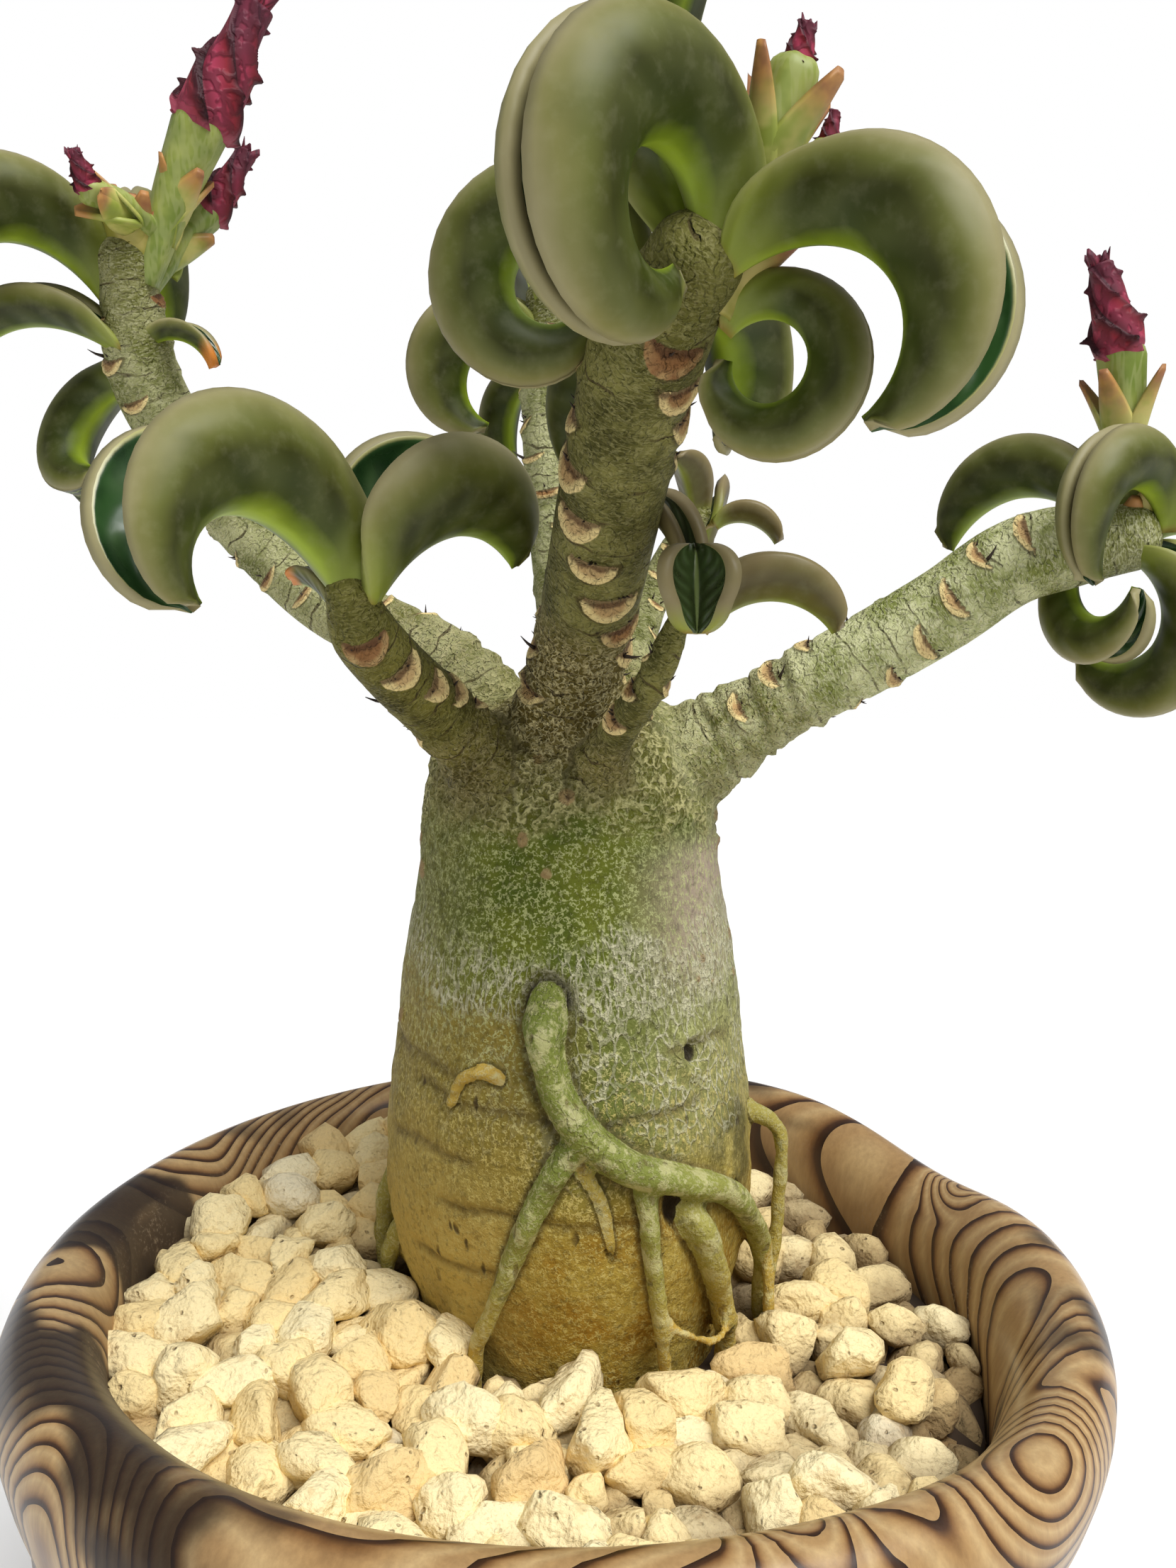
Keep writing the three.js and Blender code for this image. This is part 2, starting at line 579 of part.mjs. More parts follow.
// The finished plant
const group = new THREE.Group();

function add(name, body, material) {
  const mesh = new THREE.Mesh(faceted(body), material);
  mesh.name = name;
  group.add(mesh);
}

const limbs = Object.values(BRANCHES);
const scars = limbs.flatMap(leafScars);
const plant = join([swollenStem(0), ...limbs.map((limb) => branch(limb, 0)), ...scars, ...ROOTS.map(root)]);
const socket = join([swollenStem(GAP), ...ROOTS.map(rootHole)]);
const seat = {};
for (const [name, limb] of Object.entries(BRANCHES)) seat[name] = branch(limb, GAP);

add('pot', pot(), WOOD);
add('gravel', largest(gravelBed().subtract(socket)), STONE);
add('stem_and_branches', plant, BARK);
for (const [name, body] of leaves(seat)) add(name, body, LEAF);
for (const [cluster, buds] of Object.entries(BUDS)) {
  const green = join(buds.flatMap((bud) => [budTube(bud), ...sepals(bud)]));
  const room = join([seat[cluster], ...buds.map(headRoom)]);
  add(`${cluster}_buds`, largest(green.subtract(room)), CALYX);
  buds.forEach((bud, i) => add(`${cluster}_petals_${i + 1}`, budHead(bud), CRIMSON));
}

export default group;
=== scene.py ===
# A potted desert rose: a swollen stem with aerial roots, thick leaves that curl back on themselves
# and dark red buds, in pale stones in a turned wood pot. Lengths in the settings are millimetres,
# angles are degrees, and colours are on the screen's scale of 0 to 255.
import math

import bmesh
import bpy
import numpy as np
from mathutils import Matrix, Vector, noise


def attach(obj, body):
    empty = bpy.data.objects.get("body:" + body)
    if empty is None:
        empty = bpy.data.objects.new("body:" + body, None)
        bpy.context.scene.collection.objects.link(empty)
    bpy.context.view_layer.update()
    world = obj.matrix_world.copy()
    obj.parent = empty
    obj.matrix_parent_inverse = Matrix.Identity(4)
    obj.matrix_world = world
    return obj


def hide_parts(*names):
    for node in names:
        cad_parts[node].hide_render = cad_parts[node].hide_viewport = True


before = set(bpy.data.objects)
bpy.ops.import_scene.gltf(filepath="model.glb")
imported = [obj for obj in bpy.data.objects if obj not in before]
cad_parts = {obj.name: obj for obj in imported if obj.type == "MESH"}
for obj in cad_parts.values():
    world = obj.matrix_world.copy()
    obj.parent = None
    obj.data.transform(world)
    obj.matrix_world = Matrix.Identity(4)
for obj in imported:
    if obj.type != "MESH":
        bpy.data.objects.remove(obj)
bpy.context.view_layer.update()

mm = 0.001
fullTurn = 2 * math.pi


# Small maths
def mix(low, high, share):
    return low + (high - low) * share


def ramp(low, high, value):  # 0 at low, 1 at high, eased between, for a number or an array
    share = np.clip((value - low) / (high - low), 0, 1)
    return share * share * (3 - 2 * share)


def hump(value, width):  # 1 at 0, with a soft slope to each side
    return np.exp(-((value / width) ** 2))


def stepsOf(line):
    return np.linalg.norm(np.diff(line, axis=0), axis=1)


def smoothLine(points, count, fine=16):  # equal steps along a smooth curve through the points
    pts = np.array(points, float)
    pts = np.vstack([2 * pts[0] - pts[1], pts, 2 * pts[-1] - pts[-2]])
    curve = []
    for a, b, c, d in zip(pts, pts[1:], pts[2:], pts[3:]):
        before, span, after = [math.sqrt(np.linalg.norm(q - p)) for p, q in ((a, b), (b, c), (c, d))]
        leave = ((b - a) / before - (c - a) / (before + span)) * span + c - b
        arrive = c - b - ((d - b) / (span + after) - (d - c) / after) * span
        for t in np.linspace(0, 1, fine, endpoint=False):
            place = b * (2 * t**3 - 3 * t**2 + 1) + leave * (t**3 - 2 * t**2 + t)
            curve.append(place + c * (3 * t**2 - 2 * t**3) + arrive * (t**3 - t**2))
    line = np.array([*curve, pts[-2]])
    far = np.concatenate([[0], np.cumsum(stepsOf(line))])
    where = np.linspace(0, far[-1], count)
    return np.stack([np.interp(where, far, line[:, k]) for k in range(3)], axis=1)


def directions(line):  # the tangents, and two turning directions that don't twist along the line
    tangents = np.gradient(line, axis=0)
    tangents /= np.linalg.norm(tangents, axis=1, keepdims=True)
    side = Vector(tangents[0]).orthogonal()
    sides = []
    for tangent in tangents:
        side = (side - Vector(tangent) * side.dot(Vector(tangent))).normalized()
        sides.append(tuple(side))
    return tangents, np.array(sides), np.cross(tangents, np.array(sides))


# Shader maths: sockets that add Math nodes when an expression uses them
def operation(kind, swapped=False):
    def act(self, *others):
        values = (self, *others)
        return self.paint.node("Math", values[::-1] if swapped else values, operation=kind)

    return act


class Value:
    def __init__(self, paint, socket):
        self.paint, self.socket = paint, socket

    __add__ = __radd__ = operation("ADD")
    __mul__ = __rmul__ = operation("MULTIPLY")
    __sub__, __rsub__ = operation("SUBTRACT"), operation("SUBTRACT", swapped=True)
    __truediv__, __pow__ = operation("DIVIDE"), operation("POWER")
    least, most = operation("MINIMUM"), operation("MAXIMUM")
    sine, part, size = operation("SINE"), operation("FRACT"), operation("ABSOLUTE")

    def between(self, low, high):  # 0 at low, 1 at high, eased between
        return self.paint.node("MapRange", [self, low, high], interpolation_type="SMOOTHSTEP")


def tint(colour):  # a colour as the shader takes it
    return (*(((part / 255 + 0.055) / 1.055) ** 2.4 for part in colour), 1)


class Paint:  # one material and the nodes that it grows
    def __init__(self, name, **sockets):
        self.material = bpy.data.materials.new(name)
        self.material.use_nodes = True
        self.tree = self.material.node_tree
        self.shader = next(n for n in self.tree.nodes if n.type == "BSDF_PRINCIPLED")
        self.use(**sockets)

    def node(self, kind, inputs=(), output=0, **settings):
        node = self.tree.nodes.new("ShaderNode" + kind)
        for name, value in settings.items():
            setattr(node, name, value)
        for place, value in inputs.items() if isinstance(inputs, dict) else enumerate(inputs):
            if value is not None:
                self.feed(node.inputs[place], value)
        return Value(self, node.outputs[output])

    def feed(self, socket, value):
        if isinstance(value, Value):
            self.tree.links.new(value.socket, socket)
        else:
            socket.default_value = tint(value) if socket.type == "RGBA" else value

    def use(self, **sockets):
        for name, value in sockets.items():
            self.feed(self.shader.inputs[name.replace("_", " ")], value)
        return self.material

    def stretched(self, vector, scale=(1, 1, 1), move=(0, 0, 0)):
        return self.node("Mapping", {"Vector": vector, "Scale": scale, "Location": move})

    def place(self, *change):  # object coordinates
        return self.stretched(self.node("TexCoord", output="Object"), *change)

    def split(self, vector, axis):
        return self.node("SeparateXYZ", [vector], axis)

    def marks(self, name, output="Fac"):  # a value kept on the mesh
        return self.node("Attribute", output=output, attribute_name=name)

    def cloud(self, place, scale, detail=3.0, rough=0.55):
        return self.node("TexNoise", {"Vector": place, "Scale": scale, "Detail": detail, "Roughness": rough})

    def cells(self, place, scale, feature="F1"):
        return self.node("TexVoronoi", {"Vector": place, "Scale": scale}, feature=feature)

    def shifted(self, place, push, amount):  # a place pushed about by a cloud's colour
        colour = self.node("TexNoise", {"Vector": place, "Scale": push, "Detail": 2.0}, 1)
        middle = self.node("VectorMath", [colour, (0.5, 0.5, 0.5)], operation="SUBTRACT")
        pushed = self.node("VectorMath", {0: middle, 3: amount}, operation="SCALE")
        return self.node("VectorMath", [place, pushed], operation="ADD")

    def far(self, place, point):  # how far from a point, in metres
        return self.node("VectorMath", [place, [v * mm for v in point]], 1, operation="DISTANCE")

    def winding(self, place, scale, width):  # thin lines that wind about
        return (self.cloud(place, scale, 1.5) - 0.5).size().between(width, width * 0.3)

    def shades(self, value, *stops):  # a colour for each value
        found = self.node("ValToRGB", [value])
        elements = found.socket.node.color_ramp.elements
        for _ in stops[2:]:
            elements.new(0.5)
        for element, (place, colour) in zip(elements, stops):
            element.position = place
            element.color = tint(colour)
        return found

    def blend(self, share, first, second, how="MIX"):
        return self.node("Mix", {0: share, 6: first, 7: second}, 2, data_type="RGBA", blend_type=how)

    def over(self, colour, *layers):  # colours laid over one another, each with its share
        for share, top in layers:
            colour = self.blend(share, colour, top)
        return colour

    def relief(self, height, strength, distance, normal=None):
        inputs = {"Height": height, "Strength": strength, "Distance": distance, "Normal": normal}
        return self.node("Bump", inputs)


# Making pieces
def grid(across, along):  # a flat sheet from -1 to 1 both ways, with its UV map
    bm = bmesh.new()
    bmesh.ops.create_grid(bm, x_segments=across, y_segments=along, size=1)
    layer = bm.loops.layers.uv.verify()
    for face in bm.faces:
        for loop in face.loops:
            loop[layer].uv = (loop.vert.co.x / 2 + 0.5, loop.vert.co.y / 2 + 0.5)
    return bm


def reshape(bm, rule):  # moves every vertex by a rule, in millimetres
    for vert in bm.verts:
        vert.co = Vector(rule(vert.co)) * mm
    return bm


def merged(bm):  # a sheet whose edges meet, closed along them
    bmesh.ops.remove_doubles(bm, verts=bm.verts, dist=0.00001)
    bmesh.ops.holes_fill(bm, edges=[edge for edge in bm.edges if edge.is_boundary], sides=0)
    bmesh.ops.recalc_face_normals(bm, faces=bm.faces)
    return bm


def rod(line, radiusAt, sides, dome=0.8):  # a closed rod along a line, with a domed end
    tangents, sideways, upways = directions(line)
    steps = len(line) - 1
    caps = [0.35, 0.65, 0.85, 0.95, 1]

    def onRod(point):
        row = round((point.y + 1) / 2 * (steps + len(caps)))
        step = min(row, steps)
        beyond = caps[row - steps - 1] if row > steps else 0
        angle = (point.x + 1) * math.pi
        radius = radiusAt(step / steps, angle)
        out = sideways[step] * math.cos(angle) + upways[step] * math.sin(angle)
        return line[step] + tangents[step] * beyond * dome * radius + out * radius * math.sqrt(1 - beyond**2)

    return merged(reshape(grid(sides, steps + len(caps)), onRod))


def turned(profile, sides):  # a closed shape turned about the upright axis
    bm = bmesh.new()
    verts = [bm.verts.new((radius * mm, 0, height * mm)) for radius, height in profile]
    edges = [bm.edges.new(pair) for pair in zip(verts, verts[1:])]
    about = {"cent": (0, 0, 0), "axis": (0, 0, 1), "angle": fullTurn}
    bmesh.ops.spin(bm, geom=[*verts, *edges], steps=sides, use_merge=True, **about)
    return merged(bm)


def gathered(shapes):  # several shapes in one
    whole = bmesh.new()
    for bm in shapes:
        loose = bpy.data.meshes.new("loose")
        bm.to_mesh(loose)
        bm.free()
        whole.from_mesh(loose)
        bpy.data.meshes.remove(loose)
    return whole


def placed(name, data):  # a new object in the scene
    thing = bpy.data.objects.new(name, data)
    bpy.context.scene.collection.objects.link(thing)
    return thing


def made(name, bm, materials, replaced=()):  # the finished piece
    mesh = bpy.data.meshes.new(name)
    bm.to_mesh(mesh)
    bm.free()
    mesh.shade_smooth()
    for material in materials:
        mesh.materials.append(material)
    piece = placed(name, mesh)
    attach(piece, "root")
    if replaced:
        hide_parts(*replaced)
    return piece


def finished(piece):  # the piece with its modifiers applied
    mesh = bpy.data.meshes.new_from_object(piece.evaluated_get(bpy.context.evaluated_depsgraph_get()))
    piece.modifiers.clear()
    piece.data = mesh
    return piece


def read(mesh, name):  # a vector of each vertex, as an array
    flat = np.empty(len(mesh.vertices) * 3)
    mesh.vertices.foreach_get(name, flat)
    return flat.reshape(-1, 3)


def keep(mesh, name, values):  # keeps a value for each vertex
    layer = mesh.attributes.new(name, "FLOAT", "POINT")
    layer.data.foreach_set("value", np.asarray(values, dtype=np.float32))


# Pot: a turned bowl with a thick rolled lip that stands higher at the front, dips at the right of
# the back, has a corner at the right of the front, and opens out flat at the right
pot = {
    "height": 99.5, "radius": 79, "wall": 14, "floor": 9, "sides": 160,
    "outside": [
        (58, 3), (68, 29), (74, 58), (75.5, 75), (78, 83.5), (79, 91.5), (76, 97.5), (72, 99.5), (67.2, 97),
    ],
    "inside": [(65, 92.5), (63.5, 69), (59, 34), (49, 9)],
    "foot": [(0, 0), (55, 0), (57, 0.6)],
    "drain": 4.5, "drainRing": 24, "drainCount": 3,
}


def waved(x, y, z):
    angle, radius = math.atan2(y, x), math.hypot(x, y)
    corner = hump(angle + math.radians(42), 0.28)
    dip = hump(angle - math.radians(28), 0.26)
    openSide = hump(angle + math.radians(12), 0.75)
    nearLip = ramp(pot["height"] * 0.55, pot["height"], z)
    inward = pot["radius"] - pot["wall"]
    across = min(max((radius - inward) / pot["wall"], 0), 1)
    slope = openSide * nearLip * 7 * (across - 1) * ramp(inward - 2, inward, radius)
    lift = 0.6 * math.sin(2 * angle - 0.8) - 1.7 * math.sin(angle) - 4.5 * dip
    swell = 1 + (0.014 * math.cos(angle + math.radians(22)) + 0.02 * corner) * nearLip
    return x * swell, y * swell, z + nearLip * lift + slope


# The wood's figure is a map of rings: lines round the knots, and stripes that cross the left lip
wood = {
    "rings": 30, "waves": 13, "warp": 0.012, "stripe": 240, "heart": (34, 22, 16), "blot": (-66, 10, 96),
    # where each knot lies, how far it reaches and how many rings it adds
    "knots": [
        ((58, -52, 100), 21, 8), ((26, -65, 98), 11, 4), ((73, 27, 95), 13, 5), ((-72, 12, 96), 24, -5),
    ],
    "line": [
        (0, (41, 24, 13)), (0.14, (69, 43, 24)), (0.24, (124, 89, 53)), (0.42, (166, 133, 89)),
        (0.75, (189, 161, 116)), (1, (168, 136, 93)),
    ],
}


def potWood():
    paint = Paint("lacqueredWood", Coat_Roughness=0.22, Coat_IOR=1.45, Specular_IOR_Level=0.25)
    place = paint.place()
    bent = paint.shifted(place, 24, wood["warp"])
    x, y, z = [paint.split(bent, axis) for axis in range(3)]
    rings = paint.cloud(bent, wood["waves"], 1.2, 0.4) * wood["rings"]
    for spot, reach, count in wood["knots"]:
        rings += paint.far(bent, spot).between(reach * mm, 0) * count
    left = x.between(-0.032, -0.066)
    rings += y * left * wood["stripe"] + z * 60
    broad = paint.cloud(paint.place((1, 1, 1), (0.3, 0.1, 0)), 17, 1.0)
    narrow = (broad - 0.5) * 0.62 + 1.25 - left * 0.36
    line = paint.shades((rings.part() * narrow.most(0.35)).least(1), *wood["line"])
    dark = paint.cloud(paint.shifted(paint.place((1, 1, 1.6), (0.7, 0, 0)), 40, 0.02), 21, 2.0)
    front = y.between(-0.03, -0.07) * x.between(0.03, -0.02)
    blot = paint.far(bent, wood["blot"]).between(0.021, 0.008)
    heart = (dark + front * 0.12 + left * 0.02 + blot * 0.3).between(0.62, 0.68)
    fibre = paint.cloud(paint.place((1, 1, 0.12)), 900, 3.0, 0.7)
    shine = paint.shades(fibre, (0.3, (228, 223, 218)), (0.7, (264, 262, 257)))  # over 255 lightens
    colour = paint.blend(0.8, paint.over(line, (heart * 0.93, wood["heart"])), shine, "MULTIPLY")
    inside = paint.far(paint.place((1, 1, 0)), (0, 0, 0)).between(0.0675, 0.0645)
    inside *= paint.split(place, 2).between(0.02, 0.03)
    dusty = paint.cloud(place, 1400, 2.0, 0.7).between(0.5, 0.75) * paint.cloud(place, 60).between(0.4, 0.65)
    worn = paint.cloud(place, 45)
    return paint.use(
        Base_Color=paint.over(colour, (inside * (dusty * 0.75 + 0.12), (162, 142, 115))),
        Normal=paint.relief(fibre, 0.125, 0.0002), Roughness=worn * 0.24 + 0.24 + inside * 0.4,
        Coat_Weight=(1 - inside) * 0.15,
    )


def makePot():
    wall = smoothLine([(x, 0, z) for x, z in pot["outside"] + pot["inside"]], 110)[:, ::2]
    bm = turned([*pot["foot"], *wall, (0, pot["floor"])], pot["sides"])
    piece = made("turnedPot", reshape(bm, lambda point: waved(*(point / mm))), [potWood()], ["pot"])
    size = {"radius1": pot["drain"] * mm, "radius2": pot["drain"] * mm, "depth": 4 * pot["floor"] * mm}
    holes = []
    for i in range(pot["drainCount"]):
        turn = Matrix.Rotation(fullTurn * i / pot["drainCount"] + math.pi / 2, 4, "Z")
        spot = turn @ Matrix.Translation((pot["drainRing"] * mm, 0, 0))
        holes.append(bmesh.new())
        bmesh.ops.create_cone(holes[-1], cap_ends=True, segments=32, matrix=spot, **size)
    drills = made("drills", gathered(holes), [])
    piece.modifiers.new("drains", "BOOLEAN").object = drills
    finished(piece)
    bpy.data.objects.remove(drills)


# Swollen stem, branches and roots: the same lines as the solids, grown together into one skin
stem = {
    "x": 3, "y": 15, "voxel": 0.8,
    "profile": [
        (45, 8), (50, 15), (60, 20), (72, 23.5), (84, 26.2), (95, 28.4), (108, 29.4), (118, 29.2),
        (128, 27.4), (140, 25.4), (152, 22.9), (162, 21.9), (170, 20.3), (176, 16), (179, 8),
    ],
}
# Branches: line, radius at the foot and at the tip, how pale the skin is, half width and height of
# the leaf scars, and how far along it folds. The centre one comes first.
branches = [
    ([(0, 8, 165), (4, 0, 184), (7.2, -14, 200), (9.8, -26, 213), (12.6, -36, 223), (17, -44, 230)],
     6.5, 6.8, 0.12, 3.9, 2.4, (7, 10, 13.5, 17, 21, 25)),
    ([(16, 14, 166), (35, 8, 179), (45, 5, 185), (56, 2, 192), (66, 0, 199), (80, -4, 202)],
     5.8, 6, 1, 3.6, 1.35, (12, 16, 20, 25)),
    ([(-4, 20, 168), (-18, 26, 183), (-37, 29, 193), (-54, 30, 211), (-63, 27, 226), (-64, 22, 244)],
     5.6, 5.4, 0.6, 3.3, 1.3, (14, 19)),
    ([(-6, 6, 166), (-15, -4, 178), (-20, -14, 185), (-23, -19, 190), (-24, -22, 195)],
     5.3, 4.2, 0.05, 3.2, 2.1, (9, 13, 17)),
    ([(5, 26, 168), (2, 38, 194), (0, 42, 214), (-1, 46, 243)], 5.6, 5, 0.7, 3.4, 1.4, (12, 17)),
    ([(6, 0, 168), (10, -12, 177), (14, -20, 184), (17, -24, 192)], 3.2, 1.9, 0.1, 2.4, 1.7, (6, 9)),
    ([(10, 28, 168), (14, 46, 184), (19, 55, 197), (26, 58, 208)], 3.6, 2.8, 0.5, 2.4, 1.2, ()),
]
branches = [(smoothLine(path, 60), *rest) for path, *rest in branches]
# Roots: radius at the start and at the tip, skin at both (0 is green, 0.5 pale and 1 ochre), and a
# route of angle round the stem, height and distance off its surface
roots = [
    (2.9, 1.6, 0.15, 0.62, [
        (263, 139, -3), (263, 134, 1.8), (266, 127, 2), (272, 122, 2), (285, 116, 2), (300, 112.5, 2),
        (318, 108, 2), (335, 99, 2.5), (345, 90, 3.5), (350, 80, 5),
    ]),
    (1.9, 1.3, 0.1, 0.95, [
        (274, 121, 1.4), (266, 115, 1.8), (257, 105, 2), (250, 95, 2.4), (242, 85, 3), (240, 78, 3),
    ]),
    (1.1, 0.7, 0.75, 0.9, [(272, 117, 0.8), (278, 111, 1), (281, 104, 0.8), (282, 98, -0.5)]),
    (1.6, 1.2, 0.3, 1, [(290, 114, 1.4), (291, 107, 2.2), (293, 98, 2.8), (296, 88, 3.5), (299, 78, 4)]),
    (2.5, 1.7, 0.5, 0.95, [(302, 109, -2), (307, 104, 2.2), (314, 96, 2.6), (321, 87, 3), (326, 78, 3)]),
    (1.3, 0.9, 0.85, 1, [(340, 98, 2.4), (341, 92, 4.5), (339, 86, 6.2), (340, 78, 7.5)]),
    (1.5, 1.2, 0.7, 0.8, [
        (352, 114, -1), (354, 110, 3.6), (353, 102, 4.4), (353, 94, 4.6), (352, 84, 5.5), (352, 78, 6),
    ]),
    (1.9, 1.5, 0.6, 0.7, [(172, 101, 0), (174, 95, 2.6), (176, 87, 4.2), (178, 78, 6)]),
    (1.6, 1.2, 0.6, 0.7, [(192, 95, 0), (190, 90, 2.2), (189, 84, 3.6), (188, 78, 4.4)]),
    (0.9, 0.7, 1.1, 1.1, [(296, 92, 3.4), (302, 89, 4.4), (312, 86.5, 5.2), (324, 87, 3.4)]),
    (1.2, 0.8, 1, 0.85, [(249, 127, -0.8), (244, 128, 0.9), (238, 126.5, 1.4), (234, 122.5, 0.9)]),
    (2.1, 1.4, 0.3, 0.9, [
        (88, 122, -1.5), (90, 116, 1.6), (96, 106, 1.8), (100, 96, 2), (97, 87, 2.8), (96, 78, 3.5),
    ]),
    (1.5, 1.1, 0.5, 0.8, [(62, 104, -1), (60, 98, 1.8), (55, 90, 2.6), (52, 84, 3.4), (50, 78, 4)]),
]
# Marks on the skin. Bumps: angle round the stem, height and size. Creases: height, middle angle,
# half of the angle that they cover and depth. Rims: where a root comes out of a dark hole. ring and
# scar are the steps between those of a branch, and scarTurn is the turn from one scar to the next.
skin = {
    "bumps": [
        (253, 160.4, 1.2), (262, 155.8, 0.9), (269, 166.4, 1.2), (257, 171.4, 0.9), (282, 168.3, 0.9),
        (321, 141.7, 0.9), (317, 139.1, 0.8), (325, 138, 0.9), (350, 165, 1.3), (355, 160.4, 1.2),
        (352, 156.5, 1.3), (349, 142.6, 1.4), (346, 136.8, 1.1), (192, 157.5, 1.5), (196, 153, 1.7),
        (200, 131, 1.2), (20, 150, 1.2), (60, 158, 1.2), (85, 140, 1.4), (110, 152, 1.1),
        (140, 145, 1.3), (40, 128, 1.2), (160, 130, 1.2), (266, 128.2, 0.8),
    ],
    "creases": [
        (129.5, 318, 22, 0.4), (127, 205, 40, 0.4), (123.2, 245, 36, 0.6), (121.8, 292, 26, 0.4),
        (114.2, 222, 26, 0.35), (107.2, 262, 40, 0.65), (98.5, 236, 26, 0.4), (118, 60, 60, 0.4),
        (104, 120, 50, 0.5), (136, 100, 40, 0.35),
    ],
    "rims": [(263, 138), (302, 108.6), (172, 101), (88, 121), (62, 103)],
    "pit": (312, 128.8), "patch": (330, 113), "ring": 4.6, "scar": 3.0, "scarTurn": 165.83,
}


def stemRadius(height):
    return np.interp(height, *zip(*stem["profile"]))


def onStem(degrees, height, off=0):  # a place on the swollen stem's surface
    angle, reach = math.radians(degrees), stemRadius(height) + off
    return np.array([stem["x"] + reach * math.cos(angle), stem["y"] + reach * math.sin(angle), height])


def rootLine(route, count):
    return smoothLine([onStem(*point) for point in route], count)


def branchRadius(foot, tip, share):
    flare = 1 + 0.45 * (1 - ramp(0, 0.3, share))
    return mix(foot, tip, share) * flare * (1 - 0.22 * ramp(0.85, 1, share))


def knobbed(first, last, number):  # a root's radius, uneven along it and round it
    def radiusAt(share, angle):
        spot = Vector((share * 9, math.cos(angle) * 0.5, math.sin(angle) * 0.5 + number * 5))
        joint = 0.12 * max(math.sin(share * 22 + number), 0) ** 4
        return mix(first, last, share) * (0.88 + 0.3 * noise.noise(spot) + joint)

    return radiusAt


def swollenStem():
    wall = smoothLine([(radius, 0, height) for height, radius in stem["profile"]], 90)[:, ::2]
    first, last = stem["profile"][0][0], stem["profile"][-1][0]

    def swollen(point):
        x, y, z = point / mm
        angle = math.atan2(y, x)
        bulge = 0.022 * math.sin(2 * angle + z / 22) + 0.014 * math.sin(3 * angle - 1)
        dent = 0.018 * math.sin(z / 7 + math.sin(angle)) * (1 - ramp(110, 150, z))
        return x * (1 + bulge + dent) + stem["x"], y * (1 + bulge + dent) + stem["y"], z

    return reshape(turned([(0, first - 1), *wall, (0, last + 1)], 96), swollen)


def inBox(at, line, margin):  # which places lie in a box round a line
    low, high = line.min(axis=0) - margin, line.max(axis=0) + margin
    return np.flatnonzero(((at > low) & (at < high)).all(axis=1))


def besideLine(at, line):  # how far each place is from a line, how far along it and on which side
    tangents, sideways, upways = directions(line)
    step = np.linalg.norm(line[1] - line[0])
    parts = np.array_split(at, 1 + len(at) // 4000)
    nearest = [np.linalg.norm(part[:, None] - line[None], axis=2).argmin(axis=1) for part in parts]
    nearest = np.concatenate(nearest)
    gap = at - line[nearest]
    lead = (gap * tangents[nearest]).sum(axis=1)
    off = gap - tangents[nearest] * lead[:, None]
    side, up = (off * sideways[nearest]).sum(axis=1), (off * upways[nearest]).sum(axis=1)
    return np.linalg.norm(off, axis=1) + np.maximum(np.abs(lead) - step, 0), nearest * step + lead, side, up


def scarsOf(line):  # the leaf scars of a branch: how far along it, and the direction of each
    tangents = directions(line)[0]
    length = stepsOf(line).sum()
    listed = []
    for i in range(5, int((length - 2) / skin["scar"])):
        k = round(i * skin["scar"] / length * (len(line) - 1))
        tangent = Vector(tangents[k])
        side = Vector((1, 0.3, 0.2)).cross(tangent).normalized()
        side.rotate(Matrix.Rotation(i * math.radians(skin["scarTurn"]), 3, tangent))
        listed.append((i * skin["scar"], np.array(side), k))
    return listed


def clouded(at, size, seed):  # a soft random value from -1 to 1 for each place
    return np.array([noise.noise(Vector(point) / size + Vector((seed, 0, 0))) for point in at])


def markBranches(at, fields):
    push = np.zeros(len(at))
    for number, (line, foot, tip, pale, wide, tall, folds) in enumerate(branches):
        held = inBox(at, line, 3 * foot)
        off, along, side, up = besideLine(at[held], line)
        length = stepsOf(line).sum()
        radius = branchRadius(foot, tip, along / length)
        near = off / radius
        mine = near < fields["limb"][held]
        held, along, side, up, radius, near = [part[mine] for part in (held, along, side, up, radius, near)]
        fields["limb"][held] = near
        fields["local"][held] = np.stack([side, up, along + 100 * number], axis=1)
        fields["share"][held] = along / length
        fields["rough"][held] = 1.0 if number == 0 else 0.35
        fields["pale"][held] = pale
        _, sideways, upways = directions(line)
        turn = np.arctan2(up, side)
        scar, (above, tone, bump) = np.full(len(held), 3.0), np.zeros((3, len(held)))
        rng = np.random.default_rng(number + 3)
        for where, facing, k in scarsOf(line):
            across = turn - math.atan2(facing @ upways[k], facing @ sideways[k])
            u = ((across + math.pi) % fullTurn - math.pi) * radius / (wide * rng.uniform(0.75, 1.1))
            v = (along - where) / (tall * rng.uniform(0.8, 1.2)) - 0.45 * u * u
            field = np.hypot(u, np.where(v < 0, v, 3.5 * v))
            closer = field < scar
            tone[closer] = rng.uniform(0.25, 1) * (1 - 0.7 * ramp(0.75, 0.95, where / length))
            above[closer] = v[closer]
            scar = np.minimum(scar, field)
            rim = 0.5 * hump(field - 0.9, 0.4) * ramp(0.1, -0.5, v)
            bump += rim - 0.4 * hump(u, 1) * hump(v - 0.35, 0.3464)
        for name, values in (("scar", scar), ("above", above), ("scarTone", tone)):
            fields[name][held] = values
        for fold in folds:
            beyond = along - fold - 0.9 * np.sin(turn + fold) - 0.5 * np.sin(2 * turn + 3 * fold)
            bump += 0.35 * hump(beyond - 1, 0.9) - 0.55 * hump(beyond, 0.5)
            crease = 0.8 * hump(beyond, 0.55) * (near < 1.3)
            fields["crease"][held] = np.maximum(fields["crease"][held], crease)
        push[held] = bump * ramp(1.5, 1.1, near)
    return push


